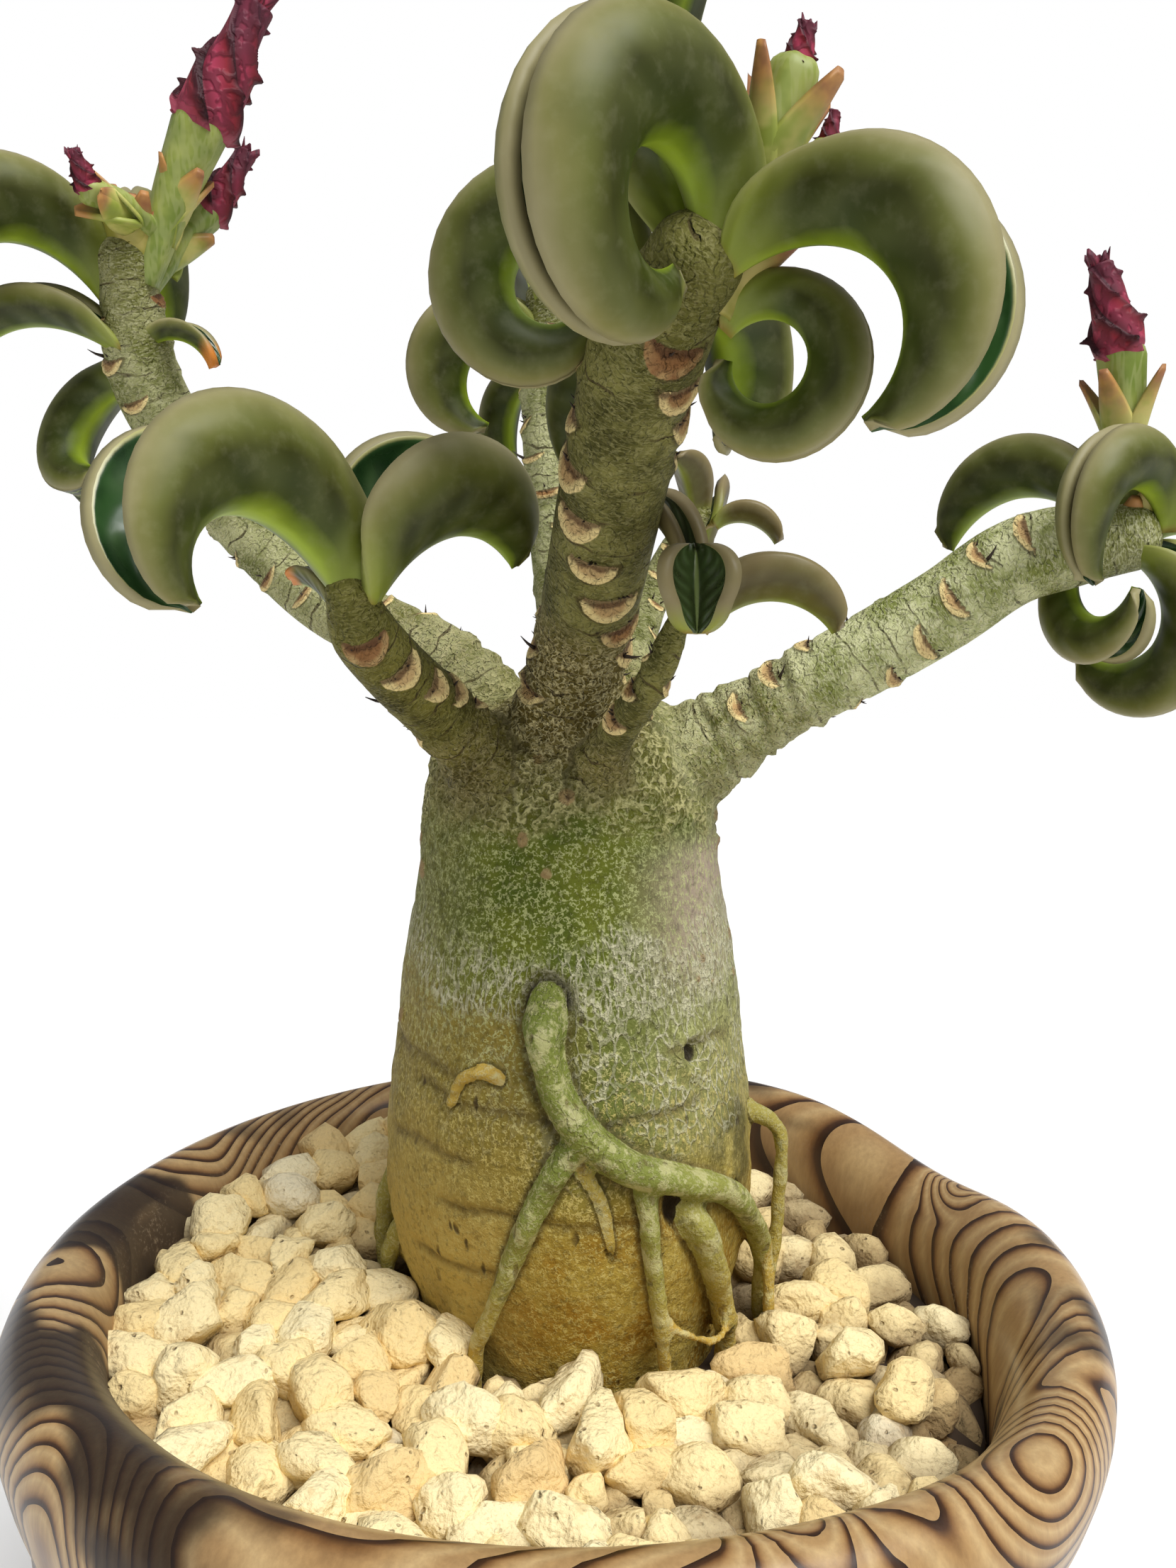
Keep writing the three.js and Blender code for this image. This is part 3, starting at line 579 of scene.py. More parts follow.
def markRoots(at, fields):
    for radius, tip, first, last, route in roots:
        line = rootLine(route, 50)
        held = inBox(at, line, 4 * radius)
        off, along, *_ = besideLine(at[held], line)
        share = np.clip(along / stepsOf(line).sum(), 0, 1)
        near = off / mix(radius, tip, share)
        mine = near < fields["root"][held]
        fields["root"][held[mine]] = near[mine]
        fields["rootTone"][held[mine]] = mix(first, last, share[mine])
    return -0.7 * hump(fields["root"] - 1.35, 0.2)


def markStem(at, fields):
    x, y, height = at[:, 0] - stem["x"], at[:, 1] - stem["y"], at[:, 2]
    angle = np.degrees(np.arctan2(y, x)) % 360
    onBody = ramp(1.05, 1.4, fields["limb"]) * ramp(1.05, 1.3, fields["root"])
    push = 0.3 * clouded(at, 5, 1) + 0.16 * clouded(at, 2.3, 7)
    for z, middle, spread, depth in skin["creases"]:
        edge = ramp(spread, spread * 0.6, np.abs((angle - middle + 180) % 360 - 180))
        line = height - z + 0.9 * np.sin(np.radians(angle * 3 + z * 9))
        line += 0.35 * np.sin(np.radians(angle * 11))
        push -= depth * hump(line, 0.6) * edge
        fields["crease"] = np.maximum(fields["crease"], hump(line, 0.75) * edge * onBody)
    for degrees, z, size in skin["bumps"]:
        far = np.linalg.norm(at - onStem(degrees, z), axis=1) / size
        push += 0.75 * hump(far, 0.9) - 0.3 * hump(far, 0.35)
        fields["bump"] = np.minimum(fields["bump"], far)
    far = np.linalg.norm(at - onStem(*skin["pit"]), axis=1)
    push += 0.7 * hump(far - 2.9, 0.9) - 2.4 * hump(far, 1.5)
    fields["hole"] = np.minimum(fields["hole"], far / 1.5)
    for degrees, z in skin["rims"]:
        far = np.linalg.norm(at - onStem(degrees, z), axis=1)
        push += 0.6 * hump(far - 4.6, 1.2) - 0.9 * hump(far - 3, 1)
        fields["hole"] = np.minimum(fields["hole"], far / 3.7 + 4 * (fields["root"] < 1.12))
    crown = ramp(150, 160, height) * ramp(188, 176, height) * ramp(0.32, 0.16, fields["share"])
    return push * onBody + crown * (0.4 - 1.9 * np.abs(clouded(at, 3.4, 4)))


def stemSkin():
    paint = Paint("greenSkin", Specular_IOR_Level=0.2)
    cloud, winding, shifted, over, marks = paint.cloud, paint.winding, paint.shifted, paint.over, paint.marks
    place = paint.place()
    x, z = paint.split(place, 0), paint.split(place, 2)
    broad, patchy = cloud(place, 42, 2.0), cloud(place, 110)
    height = z + (broad - 0.5) * 0.03 + (patchy - 0.5) * 0.012
    right, left = x.between(0.008, 0.024), x.between(-0.006, -0.02)
    # the green top, the pale middle, and the ochre foot
    mauve = right * z.between(0.13, 0.142) * z.between(0.162, 0.154)
    green = over(
        (74, 88, 14), (patchy.between(0.35, 0.65), (102, 110, 30)), (mauve, (166, 148, 130)),
        (left * 0.8, (112, 108, 52)),
    )
    middle = over((136, 120, 50), (x.between(-0.006, 0.01), (104, 112, 48)), (right * 0.7, (150, 148, 92)))
    foot = over(
        (174, 150, 66), (patchy.between(0.42, 0.64), (160, 124, 40)),
        (x.between(0.002, -0.012) * 0.85, (202, 178, 100)),
    )
    # fine winding flecks, upright streaks on the flanks, a wrinkled crown and a pale net round the middle
    broken = cloud(place, 1300, 2.0, 0.6).between(0.44, 0.56)
    faint, fainter = broken * 0.5 + 0.5, broken * 0.6 + 0.4
    upright = paint.place((1, 1, 0.3))
    flecks = winding(shifted(place, 1100, 0.0008), 1650, 0.1) * broken
    flank = right.most(left * 0.7)
    fleck = flecks * (1 - flank) + winding(upright, 1700, 0.09) * fainter * flank
    fleckColour = over((206, 188, 112), (height.between(0.118, 0.14), (184, 188, 128)))
    crown = height.between(0.156, 0.165)
    wrinkled = winding(shifted(place, 500, 0.002), 650, 0.12) * crown
    shaded = paint.far(shifted(place, 200, 0.004), onStem(*skin["patch"])).between(0.012, 0.005)
    netPlace = shifted(paint.place((1, 1, 0.6)), 420, 0.003)
    netted = height.between(0.112, 0.126) * height.between(0.147, 0.141)
    netted *= x.between(-0.004, 0.008) * 0.85 + 0.15
    net = paint.cells(netPlace, 560, "DISTANCE_TO_EDGE").between(0.13, 0.03) * faint * netted
    banded = height.between(0.136, 0.1405) * height.between(0.149, 0.144)
    band = winding(shifted(upright, 500, 0.0016), 900, 0.08) * faint * banded
    specks = paint.cells(shifted(paint.place((1, 1, 0.5)), 400, 0.002), 300).between(0.2, 0.1)
    specked = specks * cloud(place, 95, 1.0).between(0.5, 0.6) * height.between(0.144, 0.136)
    bump = marks("bump") + (cloud(place, 500, 2.0) - 0.5) * 0.9
    colour = over(
        foot, (height.between(0.102, 0.124), middle), (height.between(0.134, 0.147), green),
        (fleck * (patchy * 0.6 + 0.5), fleckColour),
        (cloud(place, 800, 4.0, 0.7).between(0.5, 0.36) * 0.33, (40, 34, 12)),
        (crown * 0.5, (84, 72, 24)), (wrinkled * fainter * 0.9, (190, 184, 128)),
        (shaded * patchy.between(0.35, 0.55) * 0.75, (66, 64, 26)),
        (net * patchy.between(0.34, 0.52) * 0.85, (208, 204, 170)), (band * 0.85, (206, 202, 168)),
        # the creases are darkened with painted shade in their grooves
        (specked * 0.85, (62, 48, 30)), (marks("crease") * 0.55, (84, 66, 36)),
        (bump.between(1.1, 0.75) * 0.8, (156, 128, 88)), (bump.between(0.5, 0.25) * 0.8, (74, 50, 32)),
    )
    # branches: grain along them, rings, and a scaly foot
    local = marks("local", "Vector")
    around = paint.stretched(local, (mm, mm, mm))
    stretched = paint.stretched(local, (0.3 * mm, 0.3 * mm, mm))
    grain = winding(shifted(stretched, 600, 0.0005), 2300, 0.09) * fainter
    share, along, isPale = marks("share"), paint.split(local, 2), marks("pale")
    ring = ((along + cloud(around, 70) * 9) / skin["ring"]).part()
    ringLine = (ring - 0.5).size().between(0.05, 0.015) * cloud(around, 160).between(0.45, 0.6)
    mottled = cloud(around, 160).between(0.35, 0.65)
    rough = marks("rough") * share.between(0.42, 0.3)
    scaly = winding(shifted(around, 900, 0.0012), 1000, 0.1) * faint * rough
    bark = over(
        (56, 50, 4), (mottled, (104, 98, 26)), (isPale, over((130, 138, 70), (mottled, (206, 208, 156)))),
        (share.between(0.78, 1) * 0.6, (106, 104, 44)),
        (grain * 0.5, over((136, 130, 72), (isPale, (222, 220, 182)))),
        (rough * 0.75, (94, 78, 28)), (scaly * 0.9, (198, 186, 136)), (ringLine * 0.8, (66, 52, 26)),
    )
    limb = marks("limb") + (cloud(place, 260) - 0.5) * 0.7
    onLimb = limb.between(1.7, 1.15) * (share + broad * 0.1).between(0.06, 0.22)
    # scars, roots and holes
    scar = marks("scar") + (cloud(around, 300, 2.0) - 0.5) * 0.3
    tone = marks("scarTone") + (cloud(around, 500, 2.0) - 0.5) * 0.2
    above = marks("above") + (cloud(around, 900, 2.0) - 0.5) * 0.5
    scarShades = [(0, (104, 56, 32)), (0.25, (150, 110, 66)), (0.55, (184, 150, 100)), (1, (206, 180, 126))]
    scarred = over(
        paint.shades(tone, *scarShades),
        (scar.between(0.5, 0.8) * tone.between(0.1, 0.35), (228, 206, 144)),
        (above.between(-0.25, 0) * 0.8, (78, 50, 30)),
    )
    edge = scar.between(1.3, 1.1) * scar.between(0.9, 1.05) * cloud(around, 300).between(0.42, 0.55)
    rootTone = marks("rootTone") + (patchy - 0.5) * 0.3
    rootShades = [(0, (92, 108, 36)), (0.35, (134, 140, 66)), (0.6, (164, 156, 80)), (1, (190, 158, 72))]
    rooted = over(
        paint.shades(rootTone, *rootShades),
        (cloud(place, 330, 4.0, 0.65).between(0.5, 0.6) * 0.55, (206, 200, 146)),
        (cloud(place, 260).between(0.42, 0.32) * 0.7, (104, 100, 54)),
        (flecks * 0.4, (200, 194, 150)), (specks * 0.5, (96, 74, 46)),
    )
    root = marks("root")
    # painted shade: a dark band on the stem along the foot of each root, and near-black in the holes that
    # roots come out of and in the pit
    colour = over(
        colour, (onLimb, bark), (edge * onLimb * 0.7, (70, 58, 28)),
        (scar.between(1.06, 0.97) * onLimb, scarred),
        (root.between(1.75, 1.3) * root.between(1.05, 1.2) * 0.6, (62, 52, 28)),
        (root.between(1.22, 1.14), rooted), (marks("hole").between(1.05, 0.8) * 0.93, (34, 24, 16)),
    )
    normal = paint.relief(fleck + grain * onLimb * 0.5, 0.35, 0.00025)
    normal = paint.relief(cloud(place, 420, 4.0, 0.65), 0.8, 0.0009, normal)
    normal = paint.relief(net + band + wrinkled * 1.6 - specked * 1.5, 0.6, 0.0005, normal)
    normal = paint.relief((scaly - ringLine * 0.7) * onLimb, 0.6, 0.0005, normal)
    return paint.use(Base_Color=colour, Normal=normal, Roughness=patchy * 0.2 + 0.58)


def makeStem():
    shapes = [swollenStem()]
    for line, foot, tip, *_ in branches:
        shapes.append(rod(line, lambda share, angle: branchRadius(foot, tip, share), 32))
    for number, (radius, tip, *_, route) in enumerate(roots):
        shapes.append(rod(rootLine(route, 50), knobbed(radius, tip, number), 16))
    piece = made("grownStem", gathered(shapes), [], ["stem_and_branches"])
    grown = piece.modifiers.new("grown", "REMESH")
    grown.mode = "VOXEL"
    grown.voxel_size = stem["voxel"] * mm
    grown.use_smooth_shade = True
    soft = piece.modifiers.new("soft", "SMOOTH")
    soft.factor = 0.5
    soft.iterations = 3
    mesh = finished(piece).data
    at = read(mesh, "co") / mm
    fields = {name: np.full(len(at), 3.0) for name in ("limb", "root", "scar", "bump", "hole")}
    for name in ("share", "rough", "pale", "above", "scarTone", "rootTone", "crease"):
        fields[name] = np.zeros(len(at))
    fields["local"] = at.copy()
    push = markBranches(at, fields) + markRoots(at, fields)
    push += markStem(at, fields)
    mesh.vertices.foreach_set("co", ((at + read(mesh, "normal") * push[:, None]) * mm).ravel())
    local = mesh.attributes.new("local", "FLOAT_VECTOR", "POINT")
    local.data.foreach_set("vector", fields.pop("local").ravel().astype(np.float32))
    for name, values in fields.items():
        keep(mesh, name, values)
    mesh.materials.clear()
    mesh.materials.append(stemSkin())
    print("triangles of the stem", 2 * len(mesh.polygons))


def spike(start, way, length, radius, bend):  # a thin dark point that bends a little
    start, way = Vector(start), Vector(way).normalized()
    tip = start + way * length + Vector((0, 0, bend))
    line = smoothLine([start, start.lerp(tip, 0.5) - Vector((0, 0, bend * 0.35)), tip], 5)
    return rod(line, lambda share, angle: radius * (1 - 0.85 * share), 5, 0.5)


def makeSpikes():  # dried points that stand along the upper edges of the leaf scars
    rng = np.random.default_rng(5)
    shapes = []
    for line, foot, tip, _, wide, *_ in branches:
        tangents = directions(line)[0]
        for where, facing, k in scarsOf(line):
            radius = branchRadius(foot, tip, k / (len(line) - 1))
            across = np.cross(tangents[k], facing)
            for _ in range(rng.integers(1, 4)):
                turn = rng.uniform(-0.7, 0.7) * wide / radius
                out = facing * math.cos(turn) + across * math.sin(turn)
                long = rng.uniform(2, 3.2) if rng.random() < 0.08 else rng.uniform(0.5, 1.2)
                start = line[k] + tangents[k] * 0.5 + out * (radius - 0.3)
                way = out + tangents[k] * rng.uniform(0.2, 1.2)
                shapes.append(spike(start, way, long, 0.1 + 0.09 * long, 0.2 * long))
    paint = Paint("driedPoint", Roughness=0.6, Base_Color=(44, 30, 20))
    made("driedPoints", gathered(shapes), [paint.material])


# Stones: settled into the pot round the stem and the roots, over dark soil
stones = {
    "seed": 7, "count": 860, "small": 2.4, "large": 4.7, "level": 84, "heap": 8, "heapSide": 125,
    "wall": 64, "layer": 14, "rounds": 110,
}


def heaped(x, y):  # the stones stand higher at the back left
    side = math.radians(stones["heapSide"])
    return stones["level"] + stones["heap"] * ramp(-20, 60, x * math.cos(side) + y * math.sin(side))


def pushOff(spots, others, room):  # how each ball is pushed by those that stand too near to it
    apart = spots[:, None, :] - others[None, :, :]
    far = np.linalg.norm(apart, axis=2) + 1e-6
    push = np.where(far < room, (room - far) / far, 0)
    return (apart * push[:, :, None]).sum(axis=1)


def settledStones():
    rng = np.random.default_rng(stones["seed"])
    count, wall, middle = stones["count"], stones["wall"], (stem["x"], stem["y"])
    radius = rng.uniform(stones["small"], stones["large"], count)
    spot = rng.uniform((-1, -1, -1), (1, 1, 0), (8 * count, 3)) * (wall, wall, stones["layer"])
    free = np.hypot(spot[:, 0], spot[:, 1]) < wall - 3
    free &= np.hypot(*(spot[:, :2] - middle).T) > stemRadius(stones["level"]) + 3
    spot = spot[free][:count]
    lines = [(rootLine(route, 24), mix(first, last, 0.7)) for first, last, *_, route in roots]
    held = np.array([(*point, thick) for line, thick in lines for point in line if point[2] < 97])
    for _ in range(stones["rounds"]):
        top = heaped(spot[:, 0], spot[:, 1])
        spot += pushOff(spot, spot, 0.92 * (radius[:, None] + radius[None, :])) * 0.3
        reach = np.hypot(spot[:, 0], spot[:, 1])
        spot[:, :2] *= np.minimum(1, (wall - radius * 0.9) / np.maximum(reach, 1e-6))[:, None]
        fromStem = spot[:, :2] - middle
        reach = np.linalg.norm(fromStem, axis=1)
        clear = stemRadius(top + spot[:, 2]) + radius * 0.95
        spot[:, :2] += fromStem * (np.maximum(clear / np.maximum(reach, 1e-6), 1) - 1)[:, None]
        where = spot + np.stack([0 * top, 0 * top, top], axis=1)
        spot += pushOff(where, held[:, :3], radius[:, None] * 0.95 + held[None, :, 3]) * 0.5
        spot[:, 2] = np.clip(spot[:, 2] - 0.12, -stones["layer"], 1)
    spot[:, 2] += heaped(spot[:, 0], spot[:, 1])
    return spot, radius


def stoneShape(rng, radius):  # a rule that makes a ball a rounded, angular stone
    cuts = [(Vector(rng.normal(size=3)).normalized(), rng.uniform(0.55, 0.85)) for _ in range(10)]
    long = rng.uniform(1.0, 1.5) * (1.15 if rng.random() < 0.2 else 1)
    stretch = Vector((long, 1.04 / math.sqrt(long), rng.uniform(0.8, 1.0)))
    turn = Matrix.Rotation(rng.uniform(0, 6.3), 3, "Z") @ Matrix.Rotation(rng.uniform(-0.7, 0.7), 3, "X")
    seed = Vector(rng.uniform(0, 90, 3))

    def rule(point):
        out = point.copy()
        for face, depth in cuts:
            out -= face * max(out.dot(face) - depth, 0) * 0.88
        out *= 1 + 0.2 * noise.noise(point * 1.5 + seed) + 0.1 * noise.noise(point * 3.5 + seed)
        return turn @ (out * stretch) * radius * 1.2

    return rule


def stonePaint():
    paint = Paint("paleStone")
    place = paint.place()
    stained = paint.cloud(place, 260, 4.0, 0.62)
    pits = paint.cells(paint.shifted(place, 300, 0.002), 420).between(0.2, 0.07) * stained.between(0.47, 0.55)
    # painted shade: a stone turns darker and browner the deeper it lies below the top of the heap, for the
    # shade in the gaps between stones
    shadeDepth = (paint.marks("shadeDepth") + (stained - 0.5) * 4).between(-1.5, 4.5)
    fresh = paint.shades(
        paint.marks("tone"), (0, (228, 196, 137)), (0.12, (243, 217, 156)), (0.5, (249, 227, 170)),
        (0.95, (252, 236, 188)), (0.99, (239, 226, 191)),
    )
    colour = paint.over(
        fresh, (stained.between(0.56, 0.72) * 0.5, (212, 181, 124)),
        (paint.cloud(place, 1900, 2.0, 0.6).between(0.56, 0.75) * 0.35, (179, 149, 101)),
        # the pits are darkened with painted shade
        (pits * 0.6, (170, 139, 89)), (shadeDepth * 0.75, (96, 64, 28)),
    )
    normal = paint.relief(paint.cloud(place, 240, 3.0, 0.6), 0.9, 0.0022)
    normal = paint.relief(paint.cloud(place, 700, 4.0, 0.7) - pits, 0.75, 0.0007, normal)
    return paint.use(Base_Color=colour, Normal=normal, Roughness=stained * 0.1 + 0.85)


def makeStones():
    rng = np.random.default_rng(stones["seed"] + 1)
    bm = bmesh.new()
    tone, shadeDepth = bm.verts.layers.float.new("tone"), bm.verts.layers.float.new("shadeDepth")
    for place, radius in zip(*settledStones()):
        top = place[2] > heaped(place[0], place[1]) - 5
        ball = bmesh.ops.create_icosphere(bm, subdivisions=3 if top and place[1] < 20 else 2, radius=1)
        shape = stoneShape(rng, radius)
        shade = rng.uniform(0, 1)
        for vert in ball["verts"]:
            spot = shape(vert.co) + Vector(place)
            vert.co = spot * mm
            vert[tone] = shade
            # how far below the top of the heap, kept for the painted shade between the stones
            vert[shadeDepth] = heaped(spot.x, spot.y) - spot.z
    print("triangles of stones", len(bm.faces))
    made("looseStones", bm, [stonePaint()], ["gravel"])


def makeSoil():
    top, floor = stones["level"] - 7, pot["floor"] + 0.4
    inner = [(radius - 0.6, height) for radius, height in pot["inside"][:0:-1]]
    bm = turned([(0, floor), (inner[0][0], floor), *inner[1:], (stones["wall"], top), (0, top)], 64)
    paint = Paint("soil", Roughness=0.95, Base_Color=(63, 48, 33))
    made("darkSoil", bm, [paint.material])


# Leaves: from its point on the branch a leaf sets out at the heading, 0 to the right and 90 to the
# back, rises by an angle and curls over by another. lean tips the curl sideways, grip moves the
# bending towards the tip, width is that of the flat leaf, and fold is how far each half wraps round.
# tones says how brown each cluster's leaves are.
blade = {
    "rib": 0.7, "stalk": 1.5, "tightest": 1.8, "thickness": 1.9, "hollow": 0.65, "across": 26, "along": 40,
    "small": 12, "fold": (168, 168), "dry": 10,
    "tones": {
        "front": 0.1, "centre": 0.15, "right": 0.2, "left": 0.25, "back": 0.2, "shoot": 0.65, "rear": 0.85,
    },
    "values": ("at", "heading", "rise", "curl", "lean", "grip", "length", "width", "fold"),
}
leaves = {
    "front": [
        ((-24.1, -22.2, 193.2), 209, 59, 188, 23, 1.8, 36, 37, (150, 105)),
        ((-21.7, -20.9, 192.6), 27, 62, 120, 14, 1.4, 28, 36, (105, 150)),
        ((-26, -17.9, 191.1), 136, 60, 69, -1, 1, 12.4, 7, (100, 100)),
    ],
    "centre": [
        ((16.8, -46.2, 229.1), 221, 110, 326, 3.4, 1.1, 38.5, 38),
        ((20.2, -45.9, 227.8), 335, 33, 178, -8.8, 1.2, 35.5, 30, (105, 150)),
        ((20.5, -41, 222.6), 342, 45, 325, -7, 1.1, 29, 18.5),
        ((9, -32.3, 226.4), 167, 89, 336, 5.7, 1.3, 33.8, 28),
        ((16.4, -41.7, 230.9), 304, 112, 150, 0, 2, 44.4, 18, (80, 80)),
        ((18.2, -37.3, 223.3), 68, 42, 205, -4, 1, 21, 24, (150, 120)),
        ((12, -32.5, 219.1), 126, 20, 130, -14, 1.1, 24, 22),
    ],
    "right": [
        ((76.1, -1, 203.2), 132, 53, 121, 5.9, 1, 27.3, 25),
        ((83.2, -6.2, 202.5), 213.5, 86, 209, 1, 0.9, 27.5, 24),
        ((74.1, -2.2, 199.3), 117, -24.6, 232, 2.3, 0.8, 20.7, 17, (150, 110)),
        ((79.1, -3.3, 199.9), 320, -23, 195, 12, 1.1, 28.3, 24, (120, 150)),
        ((82.5, -0.5, 200.5), 26, 37, 214, -9.6, 1.2, 32.4, 28),
    ],
    "left": [
        ((-67.4, 22.3, 237.5), 200, 57.7, 197, 24.1, 1.4, 34.8, 32, (150, 110)),
        ((-65, 22, 230), 182, 33, 91, -13, 1.4, 28, 16, (130, 130)),
        ((-64, 26, 225.6), 146, -0.5, 199, 24.4, 1.4, 25.6, 22, (150, 110)),
        ((-64.7, 25.9, 239.9), 102, 68, 186, -10.8, 1.2, 30.6, 30),
        ((-62, 23, 231), 345, 38, 110, 0, 1, 14, 7, (100, 100)),
    ],
    "back": [
        ((-1, 46, 240), 92, 60, 215, 0, 1.2, 38, 32, (150, 115)),
        ((0, 46, 236), 22, 40, 180, 0, 1.1, 30, 26),
        ((-2, 45, 235), 168, 35, 190, 0, 1.1, 28, 25, (110, 150)),
        ((-2.4, 45, 229.1), 128, 5, 145, 0, 1, 22, 15, (120, 120)),
        ((-1.3, 43.1, 240.6), 298, 72, 74, 7, 1, 14, 9, (90, 90)),
    ],
    "shoot": [
        ((19.8, -23.6, 190), 358, 56, 112, 2.3, 1, 19.5, 15, (125, 125)),
        ((18.6, -28.4, 190), 90, 84, 30, 0, 1, 11, 16, (92, 92)),
        ((18.5, -20, 192.3), 118, 88, 110, 0, 1, 25, 11, (115, 115)),
    ],
    "rear": [
        ((28.5, 56.5, 205), 351, 42.4, 102, 0, 0.8, 13, 10, (120, 120)),
        ((24.6, 57, 205.5), 244, 80, 65, 0, 1.2, 15, 12, (100, 100)),
        ((27, 59.2, 204.9), 76, 53.5, 153, 11.3, 1.2, 22.5, 17, (140, 140)),
    ],
}


def leafSpine(each, steps, fine=4):  # places and turned directions along the middle of a leaf
    heading, rise, lean = [math.radians(each[name]) for name in ("heading", "rise", "lean")]
    level = np.array([math.cos(heading), math.sin(heading), 0])
    upright = np.array([0, 0, 1])
    along = level * math.cos(rise) + upright * math.sin(rise)
    out = -level * math.sin(rise) + upright * math.cos(rise)
    out = out * math.cos(lean) + np.cross(along, out) * math.sin(lean)
    place, spine = np.array(each["at"], float), []
    for i in range(steps * fine + 1):
        turn = math.radians(each["curl"]) * (i / (steps * fine)) ** each["grip"]
        tangent = along * math.cos(turn) - out * math.sin(turn)
        if i % fine == 0:
            spine.append((place.copy(), along * math.sin(turn) + out * math.cos(turn)))
        place += tangent * each["length"] / (steps * fine)
    return spine, np.cross(along, out)


def halfWidth(width, share):
    full = max(math.sin(math.pi * share**1.05), 0) ** 0.75
    return mix(blade["stalk"], width / 2, full) * mix(1, 0.45, ramp(0.94, 1, share))


def leafFace(each, across, along, depth):  # one face of a leaf, deeper towards the inside
    spine, sideways = leafSpine(each, along)

    def wrapped(point):
        side, row = point.x, round((point.y + 1) / 2 * along)
        place, normal = spine[row]
        share = row / along
        half = halfWidth(each["width"], share)
        wrap = math.radians(each["fold"][0 if side < 0 else 1]) * ramp(-0.25, 0.3, share)
        fold = min(wrap, half / blade["tightest"])
        radius = half / fold
        reach = radius + blade["rib"] * hump(side, 0.2) - min(depth, blade["hollow"] * radius)
        angle = fold * side
        return place + normal * (radius - reach * math.cos(angle)) + sideways * reach * math.sin(angle)

    return reshape(grid(across, along), wrapped)


def leafBlade(each):
    across, along = (14, 22) if each["width"] < blade["small"] else (blade["across"], blade["along"])
    outer = leafFace(each, across, along, 0)
    inner = leafFace(each, across, along, blade["thickness"])
    bmesh.ops.reverse_faces(outer, faces=outer.faces)
    for face in inner.faces:
        face.material_index = 1
    bm = gathered([outer, inner])
    bmesh.ops.bridge_loops(bm, edges=[edge for edge in bm.edges if edge.is_boundary])
    return bm


def acrossLeaf(paint):  # how far from the midrib and along the leaf
    uv = paint.node("UVMap")
    return (paint.split(uv, 0) * 2 - 1).size(), paint.split(uv, 1)


def veined(paint, side, along, count):  # soft bulges that run from the midrib up to the margins
    slanted = along * count - side * 1.6 + paint.cloud(paint.place(), 70, 2.0) * 1.4
    return ((slanted * fullTurn).sine() * 0.5 + 0.5) * side.between(0.02, 0.3) * side.between(1.0, 0.7)


def leafOutside():
    paint = Paint("leafOutside", Specular_IOR_Level=0.3)
    side, along = acrossLeaf(paint)
    place, tone = paint.place(), paint.marks("tone")
    soft = paint.cloud(place, 90)
    ragged = side + (soft - 0.5) * 0.3
    # across the blade in both ramps: the yellow-green midrib is the leaf's own colour, the deep green middle
    # is partly painted shade, and the pale tan margins, curled round to the top, are partly a painted
    # highlight from the light above
    green = paint.shades(
        ragged, (0, (150, 172, 44)), (0.07, (118, 138, 28)), (0.2, (52, 64, 2)), (0.52, (48, 52, 2)),
        (0.68, (84, 88, 30)), (0.84, (120, 118, 66)), (1, (152, 144, 104)),
    )
    brown = paint.shades(
        ragged, (0, (132, 140, 56)), (0.15, (94, 90, 34)), (0.5, (88, 78, 40)), (0.9, (128, 114, 78)),
    )
    veins = veined(paint, side, along, 6) * (1 - tone).least(1)
    bloom = paint.cloud(place, 520, 3.0, 0.6).between(0.45, 0.75)
    colour = paint.over(
        green, ((tone + (soft - 0.5) * 0.3).between(0.3, 0.75), brown), (veins * 0.1, (150, 156, 90)),
        (along.between(0.3, 0) * 0.75, (150, 164, 58)), (along.between(0.05, 0) * 0.5, (140, 84, 50)),
        (bloom * 0.07, (178, 176, 140)), (paint.marks("tipped") * along.between(0.72, 0.92), (206, 128, 50)),
    )
    roughness = 0.5 - tone * 0.12 + bloom * 0.1
    return paint.use(Base_Color=colour, Normal=paint.relief(veins, 0.2, 0.001), Roughness=roughness)


def leafInside():
    paint = Paint("leafInside", Specular_IOR_Level=0.55)
    side, along = acrossLeaf(paint)
    soft = paint.cloud(paint.place(), 120)
    veins = veined(paint, side, along, 7)
    colour = paint.over(
        (22, 50, 20), (soft.between(0.35, 0.65), (44, 78, 34)),
        (paint.marks("tone").between(0.4, 0.7) * 0.6, (66, 62, 32)), ((veins ** 2) * 0.2, (112, 138, 88)),
        (side.between(0.07, 0.02) * 0.7, (132, 150, 78)), (side.between(0.95, 0.995), (172, 168, 104)),
    )
    return paint.use(Base_Color=colour, Normal=paint.relief(veins, 0.25, 0.001), Roughness=soft * 0.12 + 0.22)


def makeLeaves():
    materials = [leafOutside(), leafInside()]
    rng = np.random.default_rng(11)
    for cluster, listed in leaves.items():
        for number, values in enumerate(listed, 1):
            each = {"fold": blade["fold"]} | dict(zip(blade["values"], values))
            name, replaced = f"{cluster}Leaf{number}", [f"{cluster}_leaf_{number}"]
            mesh = made(name, leafBlade(each), materials, replaced).data
            size = len(mesh.vertices)
            keep(mesh, "tone", np.full(size, blade["tones"][cluster] + rng.uniform(-0.1, 0.1)))
            keep(mesh, "tipped", np.full(size, 1.0 if each["width"] < blade["dry"] else 0.0))


